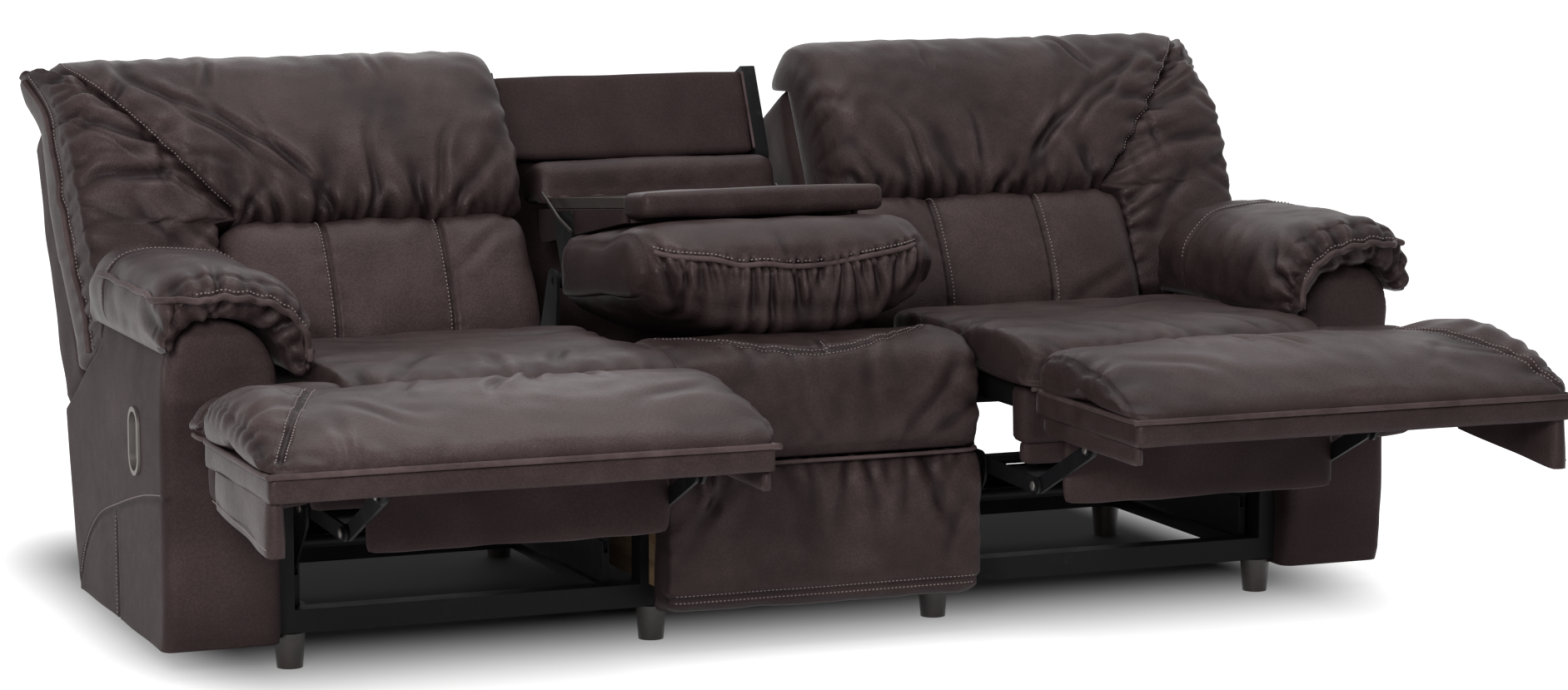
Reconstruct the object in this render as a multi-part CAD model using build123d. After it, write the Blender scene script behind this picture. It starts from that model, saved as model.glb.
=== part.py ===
from build123d import *
import math
import os

# Reclining three-seat sofa with a fold-down centre console, millimetres, +Z up, front faces -Y.
# It is drawn as it stands open: both footrests out, both outer backs reclined, console down.
# Stations along Y are counted from a line 430 behind the front feet; SHIFT_Y centres the part.
# The right-hand seat (+X) is modelled and the left-hand one is its mirror image.

SHIFT_Y = 298
TURN = 360
FIT = 0.05
BIG = 4000
STEEL = 4

# Feet and base frame
FOOT_Y_FRONT = -430
FOOT_Y_REAR = 190
FOOT_HEIGHT = 60
FOOT_TOP_RADIUS = 27
FOOT_FLOOR_RADIUS = 22
RAIL_DEPTH = 40
RAIL_HEIGHT = 40
RAIL_WALL = 3
SIDE_RAIL_WIDTH = 40

# Arms
ARM_WIDTH = 200
ARM_FRONT_Y = -502
ARM_REAR_Y = 146
ARM_HEEL_Y = 240
ARM_HEEL_Z = 359
ARM_SHOULDER_Y = -32
ARM_SHOULDER_Z = 494
ARM_FRONT_FLOOR_GAP = 72
ARM_REAR_FLOOR_GAP = 50
ARM_SPRING_OUTER_Z = 400
ARM_SPRING_INNER_Z = 470
ARM_CREST_Z = 604
PAD_OVERHANG = 58
PAD_REAR_Y = -46
PAD_THICKNESS = 104

# Seat bays
BAY_WIDTH = 568
SEAT_BOTTOM_Z = 437
SEAT_TOP_Z = 514
SEAT_NOSE_Y = -733
SEAT_REAR_Y = -112
SEAT_TRAVEL = 100

# Mechanism
PIVOT_RADIUS = 8
LINK_HALF_WIDTH = 14
LINK_THICKNESS = 6
LINK_GAP = 2
SEAT_PIVOT = (-463, 275)
ELBOW = (-682, 268)
FOOT_PIVOT = (-885, 362)
BACK_PIVOT = (120, 290)
RUNNER_Z = 153
CHANNEL_TOP_Z = 172
CHANNEL_WALL = 3
CHANNEL_CLEARANCE = 1.5
TUBE_RADIUS = 11

# Footrest
FOOTREST_REAR_Y = -745
FOOTREST_LENGTH = 392
BOARD_BOTTOM_Z = 404
BOARD_THICKNESS = 20
FOOTREST_PAD_HEIGHT = 102
WING_THICKNESS = 24
WING_DROP_FRONT = 88
WING_DROP_REAR = 62
INNER_WING_DROP = 34
FLIPPER_Y = -770
FLIPPER_HEIGHT = 120
FLIPPER_BOTTOM_Z = 250
FLIPPER_THICKNESS = 16

# Reclining backs, drawn upright from the back pivot and then leaned
RECLINE = 27.5
BACK_TOP = 665
BACK_SHELL_REAR = 152
BACK_HEEL = 188
BACK_FACE = -217
SHELL_FACE = -20
WING_HEEL = 135
LUMBAR_BOTTOM = 90
LUMBAR_TOP = 341
PILLOW_TOP = 722

# Centre seat
PLY = 18
CENTRE_FRONT_Y = -592
CENTRE_DECK_Z = 304
CENTRE_SEAM_Z = 322
CENTRE_HEM_Z = 66
CENTRE_CREST_Z = 524
REAR_PANEL_FOOT = (399, 762)
REAR_PANEL_TOP_Z = 913
REAR_PANEL_LEAN = 25
POST_WIDTH = 28
POST_TOP_Z = 921
REAR_POST_Y = 392

# Console
CONSOLE_PIVOT = (103, 564)
CONSOLE_TILT = 5.5
TABLE_Z = 727
CONSOLE_HALF = 226
TABLE_FRONT = -295
SLAB_DEPTH = 112
SLAB_HEIGHT = 46
TRAY_REAR = 236
TRAY_WALL = 3
CUP_RADIUS = 42
CUP_SPACING = 190
CUP_CENTRE_Y = 170
CUP_WELL_DEPTH = 66
BOLSTER_DEPTH = 108
BOLSTER_HEIGHT = 76
BOX_WALL = 14
CONSOLE_PAD_BOTTOM = -262
BRACKET_THICKNESS = 6

# Release handles
CUP_Y = -314
CUP_Z = 380
CUP_WIDTH = 58
CUP_HEIGHT = 104
CUP_DEPTH = 28
PADDLE_PIN_RADIUS = 2.5

# Widths, worked outwards from the console
BRACKET_X = CONSOLE_HALF + 28
CENTRE_PANEL_X = BRACKET_X + BRACKET_THICKNESS
REAR_PANEL_HALF = CENTRE_PANEL_X - 7
FOOT_X_INNER = CENTRE_PANEL_X + 7
CENTRE_HALF = CENTRE_PANEL_X + PLY + 12
CONSOLE_CUSHION_HALF = CENTRE_HALF - 2
BAY_INNER_X = CENTRE_HALF + 26
BAY_OUTER_X = BAY_INNER_X + BAY_WIDTH
LUMBAR_SEAM_INNER_X = BAY_INNER_X + 168
LUMBAR_SEAM_OUTER_X = BAY_OUTER_X - 184
MECH_INNER_X = BAY_INNER_X + 24
MECH_OUTER_X = BAY_OUTER_X + 12
ARM_INNER_X = BAY_OUTER_X + 56
ARM_OUTER_X = ARM_INNER_X + ARM_WIDTH
FOOT_X_OUTER = ARM_INNER_X - 28
EAR_OUTER_X = ARM_OUTER_X - 22
FOOTREST_OUTER_X = ARM_OUTER_X - 10
RAIL_TOP_Z = FOOT_HEIGHT + RAIL_HEIGHT
FOOTREST_FRONT_Y = FOOTREST_REAR_Y - FOOTREST_LENGTH
BOARD_TOP_Z = BOARD_BOTTOM_Z + BOARD_THICKNESS
BAY_MIDDLE_X = (MECH_INNER_X + MECH_OUTER_X) / 2
LINK_A_X = MECH_INNER_X + STEEL + LINK_GAP
LINK_B_X = LINK_A_X + LINK_THICKNESS + LINK_GAP


def side_plane(x):
    """Plane across the sofa at x, with local x along +Y and local y up."""
    return Plane(origin=(x, 0, 0), x_dir=(0, 1, 0), z_dir=(1, 0, 0))


def front_plane(y):
    """Plane facing the front at y, with local x along +X and local y up."""
    return Plane(origin=(0, y, 0), x_dir=(1, 0, 0), z_dir=(0, -1, 0))


def rounded_face(points, radius):
    """Face inside a closed outline with rounded corners."""
    return make_face(FilletPolyline(*points, radius=radius, close=True).edges())


def side_slab(points, radius, x0, x1):
    """Outline seen from the side, as thick as x0 to x1."""
    return extrude(side_plane(x0) * rounded_face(points, radius), amount=x1 - x0)


def block(x0, x1, y0, y1, z0, z1, radius=0):
    """Box between six coordinates, with its long edges along X rounded."""
    solid = Pos((x0 + x1) / 2, (y0 + y1) / 2, (z0 + z1) / 2) * Box(x1 - x0, y1 - y0, z1 - z0)
    return fillet(solid.edges().filter_by(Axis.X), radius) if radius else solid


def rod(point, radius, x0, x1):
    """Round bar across the sofa at a (y, z) point."""
    return extrude(side_plane(x0) * Pos(*point) * Circle(radius), amount=x1 - x0)


def flat_link(start, end, x0, half_width=LINK_HALF_WIDTH, thickness=LINK_THICKNESS):
    """Flat bar with round ends between two (y, z) points."""
    a, b = Vector(*start), Vector(*end)
    across = (b - a).rotate(Axis.Z, 90).normalized() * half_width
    bar = make_face(Polyline(a + across, b + across, b - across, a - across, close=True).edges())
    outline = bar + Pos(*start) * Circle(half_width) + Pos(*end) * Circle(half_width)
    return extrude(side_plane(x0) * outline, amount=thickness)


def bowed_face(plane, corners, bows):
    """Face whose sides are arcs; a bow is the arc's rise to the right of travel."""
    edges = []
    for start, end, bow in zip(corners, corners[1:] + corners[:1], bows):
        a, b = Vector(*start), Vector(*end)
        out = (b - a).rotate(Axis.Z, -90).normalized()
        edges.append(ThreePointArc(a, (a + b) * 0.5 + out * bow, b))
    return plane * make_face(edges)


def drawn_in(corners, amount):
    """Corners pulled towards their middle by an amount."""
    middle = Vector(0, 0)
    for corner in corners:
        middle += Vector(*corner) * (1 / len(corners))
    pulled = []
    for corner in corners:
        ray = Vector(*corner) - middle
        pulled.append(tuple(middle + ray * (1 - amount / ray.length))[:2])
    return pulled


def cushion(corners, bows, stations, plane_at):
    """Crowned pad through bowed sections; each station is (place, drawn in, fullness)."""
    faces = []
    for place, amount, fullness in stations:
        faces.append(bowed_face(plane_at(place), drawn_in(corners, amount), [b * fullness for b in bows]))
    return loft(faces, ruled=True)


def pad_stations(first, last, edge=22, channels=()):
    """Stations of a cushion with drawn-in ends and a dip at each sewn channel."""
    length = last - first
    turn = min(90, 0.3 * length)
    stations = []
    for part, pulled, fullness in ((0, 1, 0.3), (0.2, 0.4, 0.75), (0.55, 0.1, 0.95), (1, 0, 1)):
        stations.append((first + part * turn, edge * pulled, fullness))
        stations.append((last - part * turn, edge * pulled, fullness))
    for seam in channels:
        stations += [(seam - 30, 1, 0.98), (seam, 7, 0.7), (seam + 30, 1, 0.98)]
    if not channels:
        stations.append((first + 0.5 * length, 0, 1.05))
    return sorted(stations)


def trimmed(shape, y1=BIG, z0=-BIG, z1=BIG):
    """Shape cut flat where it lies against a board or a neighbour."""
    return shape & block(-BIG, BIG, -BIG, y1, z0, z1)


def both_mech_sides(shape):
    """A mechanism piece and its twin on the other side of the same seat."""
    return Compound([shape, mirror(shape, about=Plane.YZ.offset(BAY_MIDDLE_X))])


def save(name, shape):
    """Write one sub-part in the sofa's own frame."""
    placed = Pos(0, SHIFT_Y, 0) * shape
    solids = placed.solids()
    export_step(solids[0] if len(solids) == 1 else Compound(solids), f"parts/{name}.step")


def save_pair(name, shape):
    """Write the right-hand sub-part and its left-hand mirror image."""
    save(f"right_{name}", shape)
    save(f"left_{name}", mirror(shape, about=Plane.YZ))


# ---------------------------------------------------------------- base

def tapered_foot(x, y):
    return Pos(x, y, FOOT_HEIGHT / 2) * Rot(180, 0, 0) * Cone(
        FOOT_TOP_RADIUS, FOOT_FLOOR_RADIUS, FOOT_HEIGHT
    )


def foot_row(y):
    spots = (-FOOT_X_OUTER, -FOOT_X_INNER, FOOT_X_INNER, FOOT_X_OUTER)
    return Compound([tapered_foot(x, y) for x in spots])


def rear_feet():
    outer = [tapered_foot(side * FOOT_X_OUTER, FOOT_Y_REAR) for side in (-1, 1)]
    inner = [tapered_foot(side * FOOT_X_INNER, REAR_POST_Y + 22) for side in (-1, 1)]
    return Compound(outer + inner)


def cross_rail(y):
    """Box-section rail from arm to arm."""
    outer = Box(2 * ARM_INNER_X, RAIL_DEPTH, RAIL_HEIGHT)
    inner = Box(2 * ARM_INNER_X, RAIL_DEPTH - 2 * RAIL_WALL, RAIL_HEIGHT - 2 * RAIL_WALL)
    return Pos(0, y, FOOT_HEIGHT + RAIL_HEIGHT / 2) * (outer - inner)


def side_rail(x0):
    """Angle rail under one slide channel, between the cross rails."""
    y0 = FOOT_Y_FRONT + RAIL_DEPTH / 2
    y1 = FOOT_Y_REAR - RAIL_DEPTH / 2
    flange = block(x0, x0 + SIDE_RAIL_WIDTH, y0, y1, RAIL_TOP_Z - RAIL_WALL, RAIL_TOP_Z)
    web = block(x0, x0 + RAIL_WALL, y0, y1, FOOT_HEIGHT, RAIL_TOP_Z - RAIL_WALL)
    return flange + web


def side_rails():
    right = both_mech_sides(side_rail(MECH_INNER_X - SIDE_RAIL_WIDTH / 2))
    return Compound(right.solids() + mirror(right, about=Plane.YZ).solids())


def slide_channel():
    """Upright channel that the seat's side plate runs in, on its own standing web."""
    y0 = FOOT_Y_FRONT + RAIL_DEPTH / 2
    y1 = FOOT_Y_REAR - RAIL_DEPTH / 2
    half = STEEL / 2 + CHANNEL_CLEARANCE + CHANNEL_WALL
    middle = MECH_INNER_X + STEEL / 2
    body = block(middle - half, middle + half, y0, y1, RAIL_TOP_Z, CHANNEL_TOP_Z)
    slot_half = STEEL / 2 + CHANNEL_CLEARANCE
    slot_floor = RUNNER_Z - CHANNEL_CLEARANCE
    return body - block(middle - slot_half, middle + slot_half, y0, y1, slot_floor, CHANNEL_TOP_Z)


def slide_channels():
    right = both_mech_sides(slide_channel())
    return Compound(right.solids() + mirror(right, about=Plane.YZ).solids())


def front_posts():
    """Steel posts over the front feet, one pair beside the centre box and one by the arms."""
    y0 = FOOT_Y_FRONT - 22
    y1 = FOOT_Y_FRONT + 22
    inner_x = CENTRE_PANEL_X + PLY
    inner = block(inner_x, inner_x + 16, y0, y1, RAIL_TOP_Z, 216)
    outer = block(ARM_INNER_X - 32, ARM_INNER_X, y0, y1, RAIL_TOP_Z, 285)
    pair = [inner, outer]
    return Compound(pair + [mirror(post, about=Plane.YZ) for post in pair])


# ---------------------------------------------------------------- arms

def arm_section():
    """Front view of the arm: straight sides under an uneven arch."""
    crest_x = ARM_INNER_X + 0.55 * ARM_WIDTH
    low = ARM_REAR_FLOOR_GAP - 20
    corners = [
        (ARM_INNER_X, low), (ARM_OUTER_X, low), (ARM_OUTER_X, ARM_SPRING_OUTER_Z),
        (crest_x, ARM_CREST_Z), (ARM_INNER_X, ARM_SPRING_INNER_Z),
    ]
    edges = [
        Line(corners[0], corners[1]),
        Line(corners[1], corners[2]),
        ThreePointArc(corners[2], (ARM_OUTER_X - 22, ARM_SPRING_OUTER_Z + 128), corners[3]),
        ThreePointArc(corners[3], (ARM_INNER_X + 36, ARM_SPRING_INNER_Z + 90), corners[4]),
        Line(corners[4], corners[0]),
    ]
    return make_face(edges)


def arm():
    """Upholstered arm box, with the pocket for the release cup."""
    body = extrude(front_plane(ARM_HEEL_Y + 20) * arm_section(), amount=ARM_HEEL_Y + 20 - ARM_FRONT_Y)
    outline = [
        (ARM_FRONT_Y, ARM_FRONT_FLOOR_GAP), (ARM_REAR_Y, ARM_REAR_FLOOR_GAP),
        (ARM_HEEL_Y, ARM_HEEL_Z), (ARM_SHOULDER_Y, ARM_SHOULDER_Z),
        (ARM_SHOULDER_Y, ARM_CREST_Z + 20), (ARM_FRONT_Y, ARM_CREST_Z + 20),
    ]
    shape = body & side_slab(outline, [26, 40, 24, 30, 10, 10], ARM_INNER_X - 10, ARM_OUTER_X + 10)
    shape -= extrude(side_plane(ARM_OUTER_X) * cup_outline(8), amount=20)
    return shape - extrude(side_plane(ARM_OUTER_X - CUP_DEPTH) * cup_outline(0.5), amount=CUP_DEPTH + 20)


def arm_pad():
    """Pillow over the arm: a crescent in section, gathered in at its front."""
    inner_x = ARM_INNER_X - 52
    outer_x = ARM_OUTER_X + 50
    top_z = ARM_CREST_Z + PAD_THICKNESS
    corners = [
        (ARM_INNER_X - 12, ARM_CREST_Z - 94), (ARM_OUTER_X + 18, ARM_CREST_Z - 52),
        (outer_x, ARM_CREST_Z - 16), (outer_x - 66, top_z - 16), (ARM_INNER_X + 62, top_z - 4),
        (inner_x + 16, ARM_CREST_Z + 4), (inner_x, ARM_CREST_Z - 76),
    ]
    under = -(ARM_CREST_Z + 10 - (corners[0][1] + corners[1][1]) / 2)
    bows = [under, 5, 20, 7, 18, 5, 5]
    front_y = ARM_FRONT_Y - PAD_OVERHANG
    faces = []
    for y, lift, fullness in (
        (front_y, 0.62, 0.4), (front_y + 16, 0.86, 0.9), (front_y + 60, 1, 1),
        (-340, 1.02, 1), (-180, 1, 1), (PAD_REAR_Y - 22, 0.88, 0.9), (PAD_REAR_Y, 0.7, 0.5),
    ):
        faces.append(bowed_face(front_plane(y), pad_crescent(corners, lift), [
            bow if index == 0 else bow * fullness for index, bow in enumerate(bows)
        ]))
    return loft(faces, ruled=True)


def pad_crescent(corners, fullness):
    """The arm pad's corners with its upper side lowered towards its underside."""
    base_x = ARM_INNER_X + 0.5 * ARM_WIDTH
    base_z = ARM_CREST_Z + 22
    lowered = []
    for x, z in corners:
        if z < base_z - 30:
            lowered.append((base_x + (x - base_x) * (0.9 + 0.1 * fullness), z))
        else:
            lowered.append((base_x + (x - base_x) * (0.7 + 0.3 * fullness), base_z + (z - base_z) * fullness))
    return lowered


# ---------------------------------------------------------------- release handles

def cup_outline(grow):
    """Rounded outline of the recess in the arm's outer side."""
    return Pos(CUP_Y, CUP_Z) * RectangleRounded(
        CUP_WIDTH + 2 * grow, CUP_HEIGHT + 2 * grow, CUP_WIDTH / 2 + grow - 1
    )


def hinge_spot():
    """Where the paddle's upright pin stands, as (x, y)."""
    return ARM_OUTER_X - 11, CUP_Y - 17


def release_bezel():
    """Moulded cup with a raised rim and two lugs that hold the paddle's pin."""
    wall = 2
    floor_x = ARM_OUTER_X - CUP_DEPTH
    cup = extrude(side_plane(floor_x) * cup_outline(0), amount=CUP_DEPTH)
    rim = extrude(side_plane(ARM_OUTER_X) * cup_outline(6), amount=5)
    hollow = extrude(side_plane(floor_x + wall) * cup_outline(-wall), amount=CUP_DEPTH + 10)
    body = cup + rim - hollow
    pin_x, pin_y = hinge_spot()
    lug = block(floor_x + wall, pin_x + 5, pin_y - 5, pin_y + 5, CUP_Z - 42, CUP_Z - 35)
    body += lug + Pos(0, 0, 77) * lug
    return body - Pos(pin_x, pin_y, CUP_Z) * Cylinder(PADDLE_PIN_RADIUS + FIT, 84)


def release_paddle():
    """Finger paddle on its pin."""
    pin_x, pin_y = hinge_spot()
    barrel = Pos(pin_x, pin_y, CUP_Z) * Cylinder(5, 68)
    pin = Pos(pin_x, pin_y, CUP_Z) * Cylinder(PADDLE_PIN_RADIUS, 82)
    blade_points = [(pin_x - 3, pin_y), (pin_x + 5, pin_y), (pin_x + 9, pin_y + 28), (pin_x + 4, pin_y + 29)]
    blade = extrude(make_face(Polyline(*blade_points, close=True).edges()), amount=64)
    return barrel + pin + Pos(0, 0, CUP_Z - 32) * blade


# ---------------------------------------------------------------- seat carriage

def seat_side_plate():
    """Pressed side plate with its pivot holes and lightening slots."""
    py, pz = SEAT_PIVOT
    by, bz = BACK_PIVOT
    outline = [
        (py - 26, pz + 24), (py - 26, pz - 26), (py + 60, RUNNER_Z), (by - 60, RUNNER_Z),
        (by + 34, bz - 24), (by + 26, bz + 30), (by - 40, bz + 26), (by - 180, SEAT_BOTTOM_Z - 12),
        (py + 50, SEAT_BOTTOM_Z - 12), (py + 26, pz + 24),
    ]
    radii = [20, 22, 20, 20, 24, 24, 20, 14, 14, 12]
    plate = side_slab(outline, radii, MECH_INNER_X, MECH_INNER_X + STEEL)
    for point in (SEAT_PIVOT, BACK_PIVOT):
        plate -= rod(point, PIVOT_RADIUS + FIT, MECH_INNER_X - 1, MECH_INNER_X + STEEL + 1)
    for middle_y in (-330, -210, -90):
        slot = side_plane(MECH_INNER_X - 1) * Pos(middle_y, 270) * RectangleRounded(76, 60, 18)
        plate -= extrude(slot, amount=STEEL + 2)
    return plate


def seat_cross_tubes():
    """Round tubes and the front bar that tie the two side plates."""
    x0 = MECH_INNER_X + STEEL
    x1 = MECH_OUTER_X - STEEL
    tubes = []
    for point in ((-372, 200), (20, 195)):
        tubes.append(rod(point, TUBE_RADIUS, x0, x1) - rod(point, TUBE_RADIUS - 2, x0, x1))
    return Compound(tubes)


def seat_frame():
    """Timber side rails on the plates, with a slatted deck across them."""
    x0 = MECH_INNER_X + STEEL
    y0, y1 = -602, BACK_PIVOT[0] - 196
    z0 = SEAT_BOTTOM_Z - 42
    side = block(x0, x0 + 26, y0, y1, z0, SEAT_BOTTOM_Z - 1)
    sides = both_mech_sides(side)
    inner_x0, inner_x1 = x0 + 26, MECH_OUTER_X - STEEL - 26
    rear = block(inner_x0, inner_x1, y1 - 30, y1, z0, SEAT_BOTTOM_Z - 1)
    return Compound(sides.solids() + [rear])


def seat_front_rail():
    """Upholstered front rail, with an ear block in front of the arm."""
    x0 = MECH_INNER_X - 4
    main = block(x0, ARM_INNER_X - 10, -655, -602, SEAT_BOTTOM_Z - 102, SEAT_BOTTOM_Z - 1, 6)
    ear = block(ARM_INNER_X - 12, EAR_OUTER_X - 22, -700, -608, SEAT_BOTTOM_Z - 122, SEAT_BOTTOM_Z - 20, 14)
    lower = block(x0 + 8, ARM_INNER_X - 12, -640, -612, SEAT_BOTTOM_Z - 140, SEAT_BOTTOM_Z - 102, 5)
    return main + ear + lower


def seat_cushion():
    """Seat pad with a rolled nose and an ear in front of the arm."""
    corners = [
        (SEAT_NOSE_Y + 34, SEAT_BOTTOM_Z + 4), (SEAT_REAR_Y - 8, SEAT_BOTTOM_Z + 3),
        (SEAT_REAR_Y, SEAT_TOP_Z - 22), (SEAT_NOSE_Y + 96, SEAT_TOP_Z + 8), (SEAT_NOSE_Y, SEAT_TOP_Z - 22),
    ]
    bows = [1, 5, 9, 9, 4]
    main = cushion(corners, bows, pad_stations(BAY_INNER_X, BAY_OUTER_X, 16), side_plane)
    ear_corners = [
        (SEAT_NOSE_Y + 34, SEAT_BOTTOM_Z + 4), (-612, SEAT_BOTTOM_Z + 3),
        (-608, SEAT_TOP_Z - 36), (SEAT_NOSE_Y + 72, SEAT_TOP_Z - 8), (SEAT_NOSE_Y + 3, SEAT_TOP_Z - 24),
    ]
    ear_stations = [
        (BAY_OUTER_X - 60, 4, 1), (BAY_OUTER_X + 40, 0, 1), (EAR_OUTER_X - 60, 0, 1),
        (EAR_OUTER_X - 20, 4, 1), (EAR_OUTER_X, 16, 0.4),
    ]
    ear = cushion(ear_corners, [1, 2, 4, 6, 4], ear_stations, side_plane)
    return trimmed(main + ear, z0=SEAT_BOTTOM_Z + 1)


# ---------------------------------------------------------------- reclining back

def leaned(shape):
    """Shape drawn upright from the back pivot, set at the reclined angle."""
    return Pos(0, *BACK_PIVOT) * Rot(-RECLINE, 0, 0) * shape


def back_shell():
    """Upholstered outside back: wide above the arms, narrow between them."""
    upper_outline = [
        (SHELL_FACE, WING_HEEL + 2), (BACK_HEEL, WING_HEEL - 8), (BACK_SHELL_REAR + 6, 380),
        (BACK_SHELL_REAR, BACK_TOP), (SHELL_FACE, BACK_TOP),
    ]
    upper = side_slab(upper_outline, [6, 30, 60, 40, 10], BAY_INNER_X, EAR_OUTER_X)
    lower_outline = [(-14, 28), (92, 28), (120, WING_HEEL + 20), (-14, WING_HEEL + 20)]
    x0 = LINK_A_X + LINK_THICKNESS
    lower = side_slab(lower_outline, [8, 20, 6, 6], x0, MECH_INNER_X + MECH_OUTER_X - x0)
    return leaned(upper + lower)


def back_bracket():
    """Hinge bracket on the shell's side, with the stud that turns in the side plate."""
    outline = [(-18, -18), (18, -18), (60, 60), (60, 122), (-12, 122)]
    plate = side_slab(outline, [14, 14, 16, 8, 8], LINK_A_X, LINK_A_X + LINK_THICKNESS)
    stud = rod((0, 0), PIVOT_RADIUS, MECH_INNER_X - 3, LINK_A_X + 1)
    head = rod((0, 0), PIVOT_RADIUS + 4, MECH_INNER_X - 5, MECH_INNER_X - 1)
    return leaned(plate + stud + head)


def headrest_pillow():
    """Pillow that bulges over the lumbar pad and rolls over the shell's top."""
    corners = [
        (-200, LUMBAR_TOP + 8), (-27, LUMBAR_TOP + 8), (-27, BACK_TOP + 9), (72, BACK_TOP + 11),
        (44, PILLOW_TOP - 16), (-66, PILLOW_TOP), (-162, PILLOW_TOP - 78), (BACK_FACE - 16, LUMBAR_TOP + 130),
    ]
    bows = [2, 1, 1, 6, 4, 9, 9, 13]
    pillow = cushion(corners, bows, pad_stations(BAY_INNER_X - 3, EAR_OUTER_X + 2, 20), side_plane)
    pillow = trimmed(pillow, z0=LUMBAR_TOP + 5)
    return leaned(pillow - block(0, 2 * EAR_OUTER_X, SHELL_FACE - 2, BIG, 0, BACK_TOP + 1))


def lumbar_pad():
    """Lower back pad with two sewn channels."""
    corners = [
        (BACK_FACE + 22, LUMBAR_BOTTOM), (-40, LUMBAR_BOTTOM + 10), (-28, LUMBAR_TOP),
        (BACK_FACE + 24, LUMBAR_TOP - 2), (BACK_FACE + 6, (LUMBAR_BOTTOM + LUMBAR_TOP) / 2),
    ]
    seams = (LUMBAR_SEAM_INNER_X, LUMBAR_SEAM_OUTER_X)
    stations = pad_stations(BAY_INNER_X + 2, BAY_OUTER_X, 16, seams)
    pad = cushion(corners, [4, 1, 1, 5, 5], stations, side_plane)
    return leaned(trimmed(pad, y1=SHELL_FACE - 2, z1=LUMBAR_TOP + 3))


def back_side_pad():
    """Padded side of the back, above the arm's shoulder."""
    corners = [
        (BACK_FACE + 14, WING_HEEL + 4), (-28, WING_HEEL + 4), (-28, LUMBAR_TOP),
        (BACK_FACE + 6, LUMBAR_TOP - 2),
    ]
    stations = pad_stations(BAY_OUTER_X + 4, EAR_OUTER_X, 12)
    pad = cushion(corners, [2, 1, 1, 7], stations, side_plane)
    return leaned(trimmed(pad, y1=SHELL_FACE - 2, z1=LUMBAR_TOP + 3))


# ---------------------------------------------------------------- footrest linkage

def link_a():
    """Rear link, with the stud that turns in the side plate, tied across by a tube."""
    bar = flat_link(SEAT_PIVOT, ELBOW, LINK_A_X)
    bar -= rod(ELBOW, PIVOT_RADIUS + FIT, LINK_A_X - 1, LINK_A_X + LINK_THICKNESS + 1)
    stud = rod(SEAT_PIVOT, PIVOT_RADIUS, MECH_INNER_X - 3, LINK_A_X + 1)
    head = rod(SEAT_PIVOT, PIVOT_RADIUS + 4, MECH_INNER_X - 5, MECH_INNER_X - 1)
    side = bar + stud + head
    middle = (0.55 * SEAT_PIVOT[0] + 0.45 * ELBOW[0], 0.55 * SEAT_PIVOT[1] + 0.45 * ELBOW[1])
    inner_x = LINK_A_X + LINK_THICKNESS
    tube = rod(middle, TUBE_RADIUS, inner_x, MECH_INNER_X + MECH_OUTER_X - inner_x)
    return side + mirror(side, about=Plane.YZ.offset(BAY_MIDDLE_X)) + tube


def link_b():
    """Front link, with studs at the elbow and at the footrest bracket."""
    bar = flat_link(ELBOW, FOOT_PIVOT, LINK_B_X)
    for point in (ELBOW, FOOT_PIVOT):
        bar += rod(point, PIVOT_RADIUS, LINK_A_X - 3, LINK_B_X + 1)
        bar += rod(point, PIVOT_RADIUS + 3, LINK_A_X - 4, LINK_A_X - 1)
    return both_mech_sides(bar)


def flipper_panel():
    """Upholstered mid panel between the front links."""
    x0 = LINK_B_X + LINK_THICKNESS
    y0 = FLIPPER_Y - FLIPPER_THICKNESS / 2
    z1 = FLIPPER_BOTTOM_Z + FLIPPER_HEIGHT
    x1 = MECH_INNER_X + MECH_OUTER_X - x0
    return block(x0, x1, y0, y0 + FLIPPER_THICKNESS, FLIPPER_BOTTOM_Z, z1, 5)


def footrest_board():
    """Footrest board with a bracket plate at each front link."""
    board = block(
        BAY_INNER_X + 2, FOOTREST_OUTER_X, FOOTREST_FRONT_Y, FOOTREST_REAR_Y, BOARD_BOTTOM_Z, BOARD_TOP_Z, 6
    )
    qy, qz = FOOT_PIVOT
    outline = [(qy - 16, qz - 14), (qy + 16, qz - 14), (qy + 34, BOARD_BOTTOM_Z + 2), (qy - 60, BOARD_BOTTOM_Z + 2)]
    bracket = side_slab(outline, [13, 13, 1, 1], LINK_A_X, LINK_A_X + LINK_THICKNESS)
    bracket -= rod(FOOT_PIVOT, PIVOT_RADIUS + FIT, LINK_A_X - 1, LINK_A_X + LINK_THICKNESS + 1)
    return board + bracket + mirror(bracket, about=Plane.YZ.offset(BAY_MIDDLE_X))


def footrest_pad():
    """Padded top of the footrest, sloped at its rear to clear the seat's nose."""
    bottom = BOARD_TOP_Z + 3
    top = BOARD_BOTTOM_Z + FOOTREST_PAD_HEIGHT
    corners = [
        (FOOTREST_FRONT_Y + 2, bottom), (FOOTREST_REAR_Y - 4, bottom), (FOOTREST_REAR_Y - 14, top - 8),
        (FOOTREST_REAR_Y - 180, top + 18), (FOOTREST_FRONT_Y + 56, top - 14),
    ]
    stations = pad_stations(BAY_INNER_X, FOOTREST_OUTER_X, 14)
    return trimmed(cushion(corners, [1, 3, 5, 6, 9], stations, side_plane), z0=BOARD_TOP_Z + 1)


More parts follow.
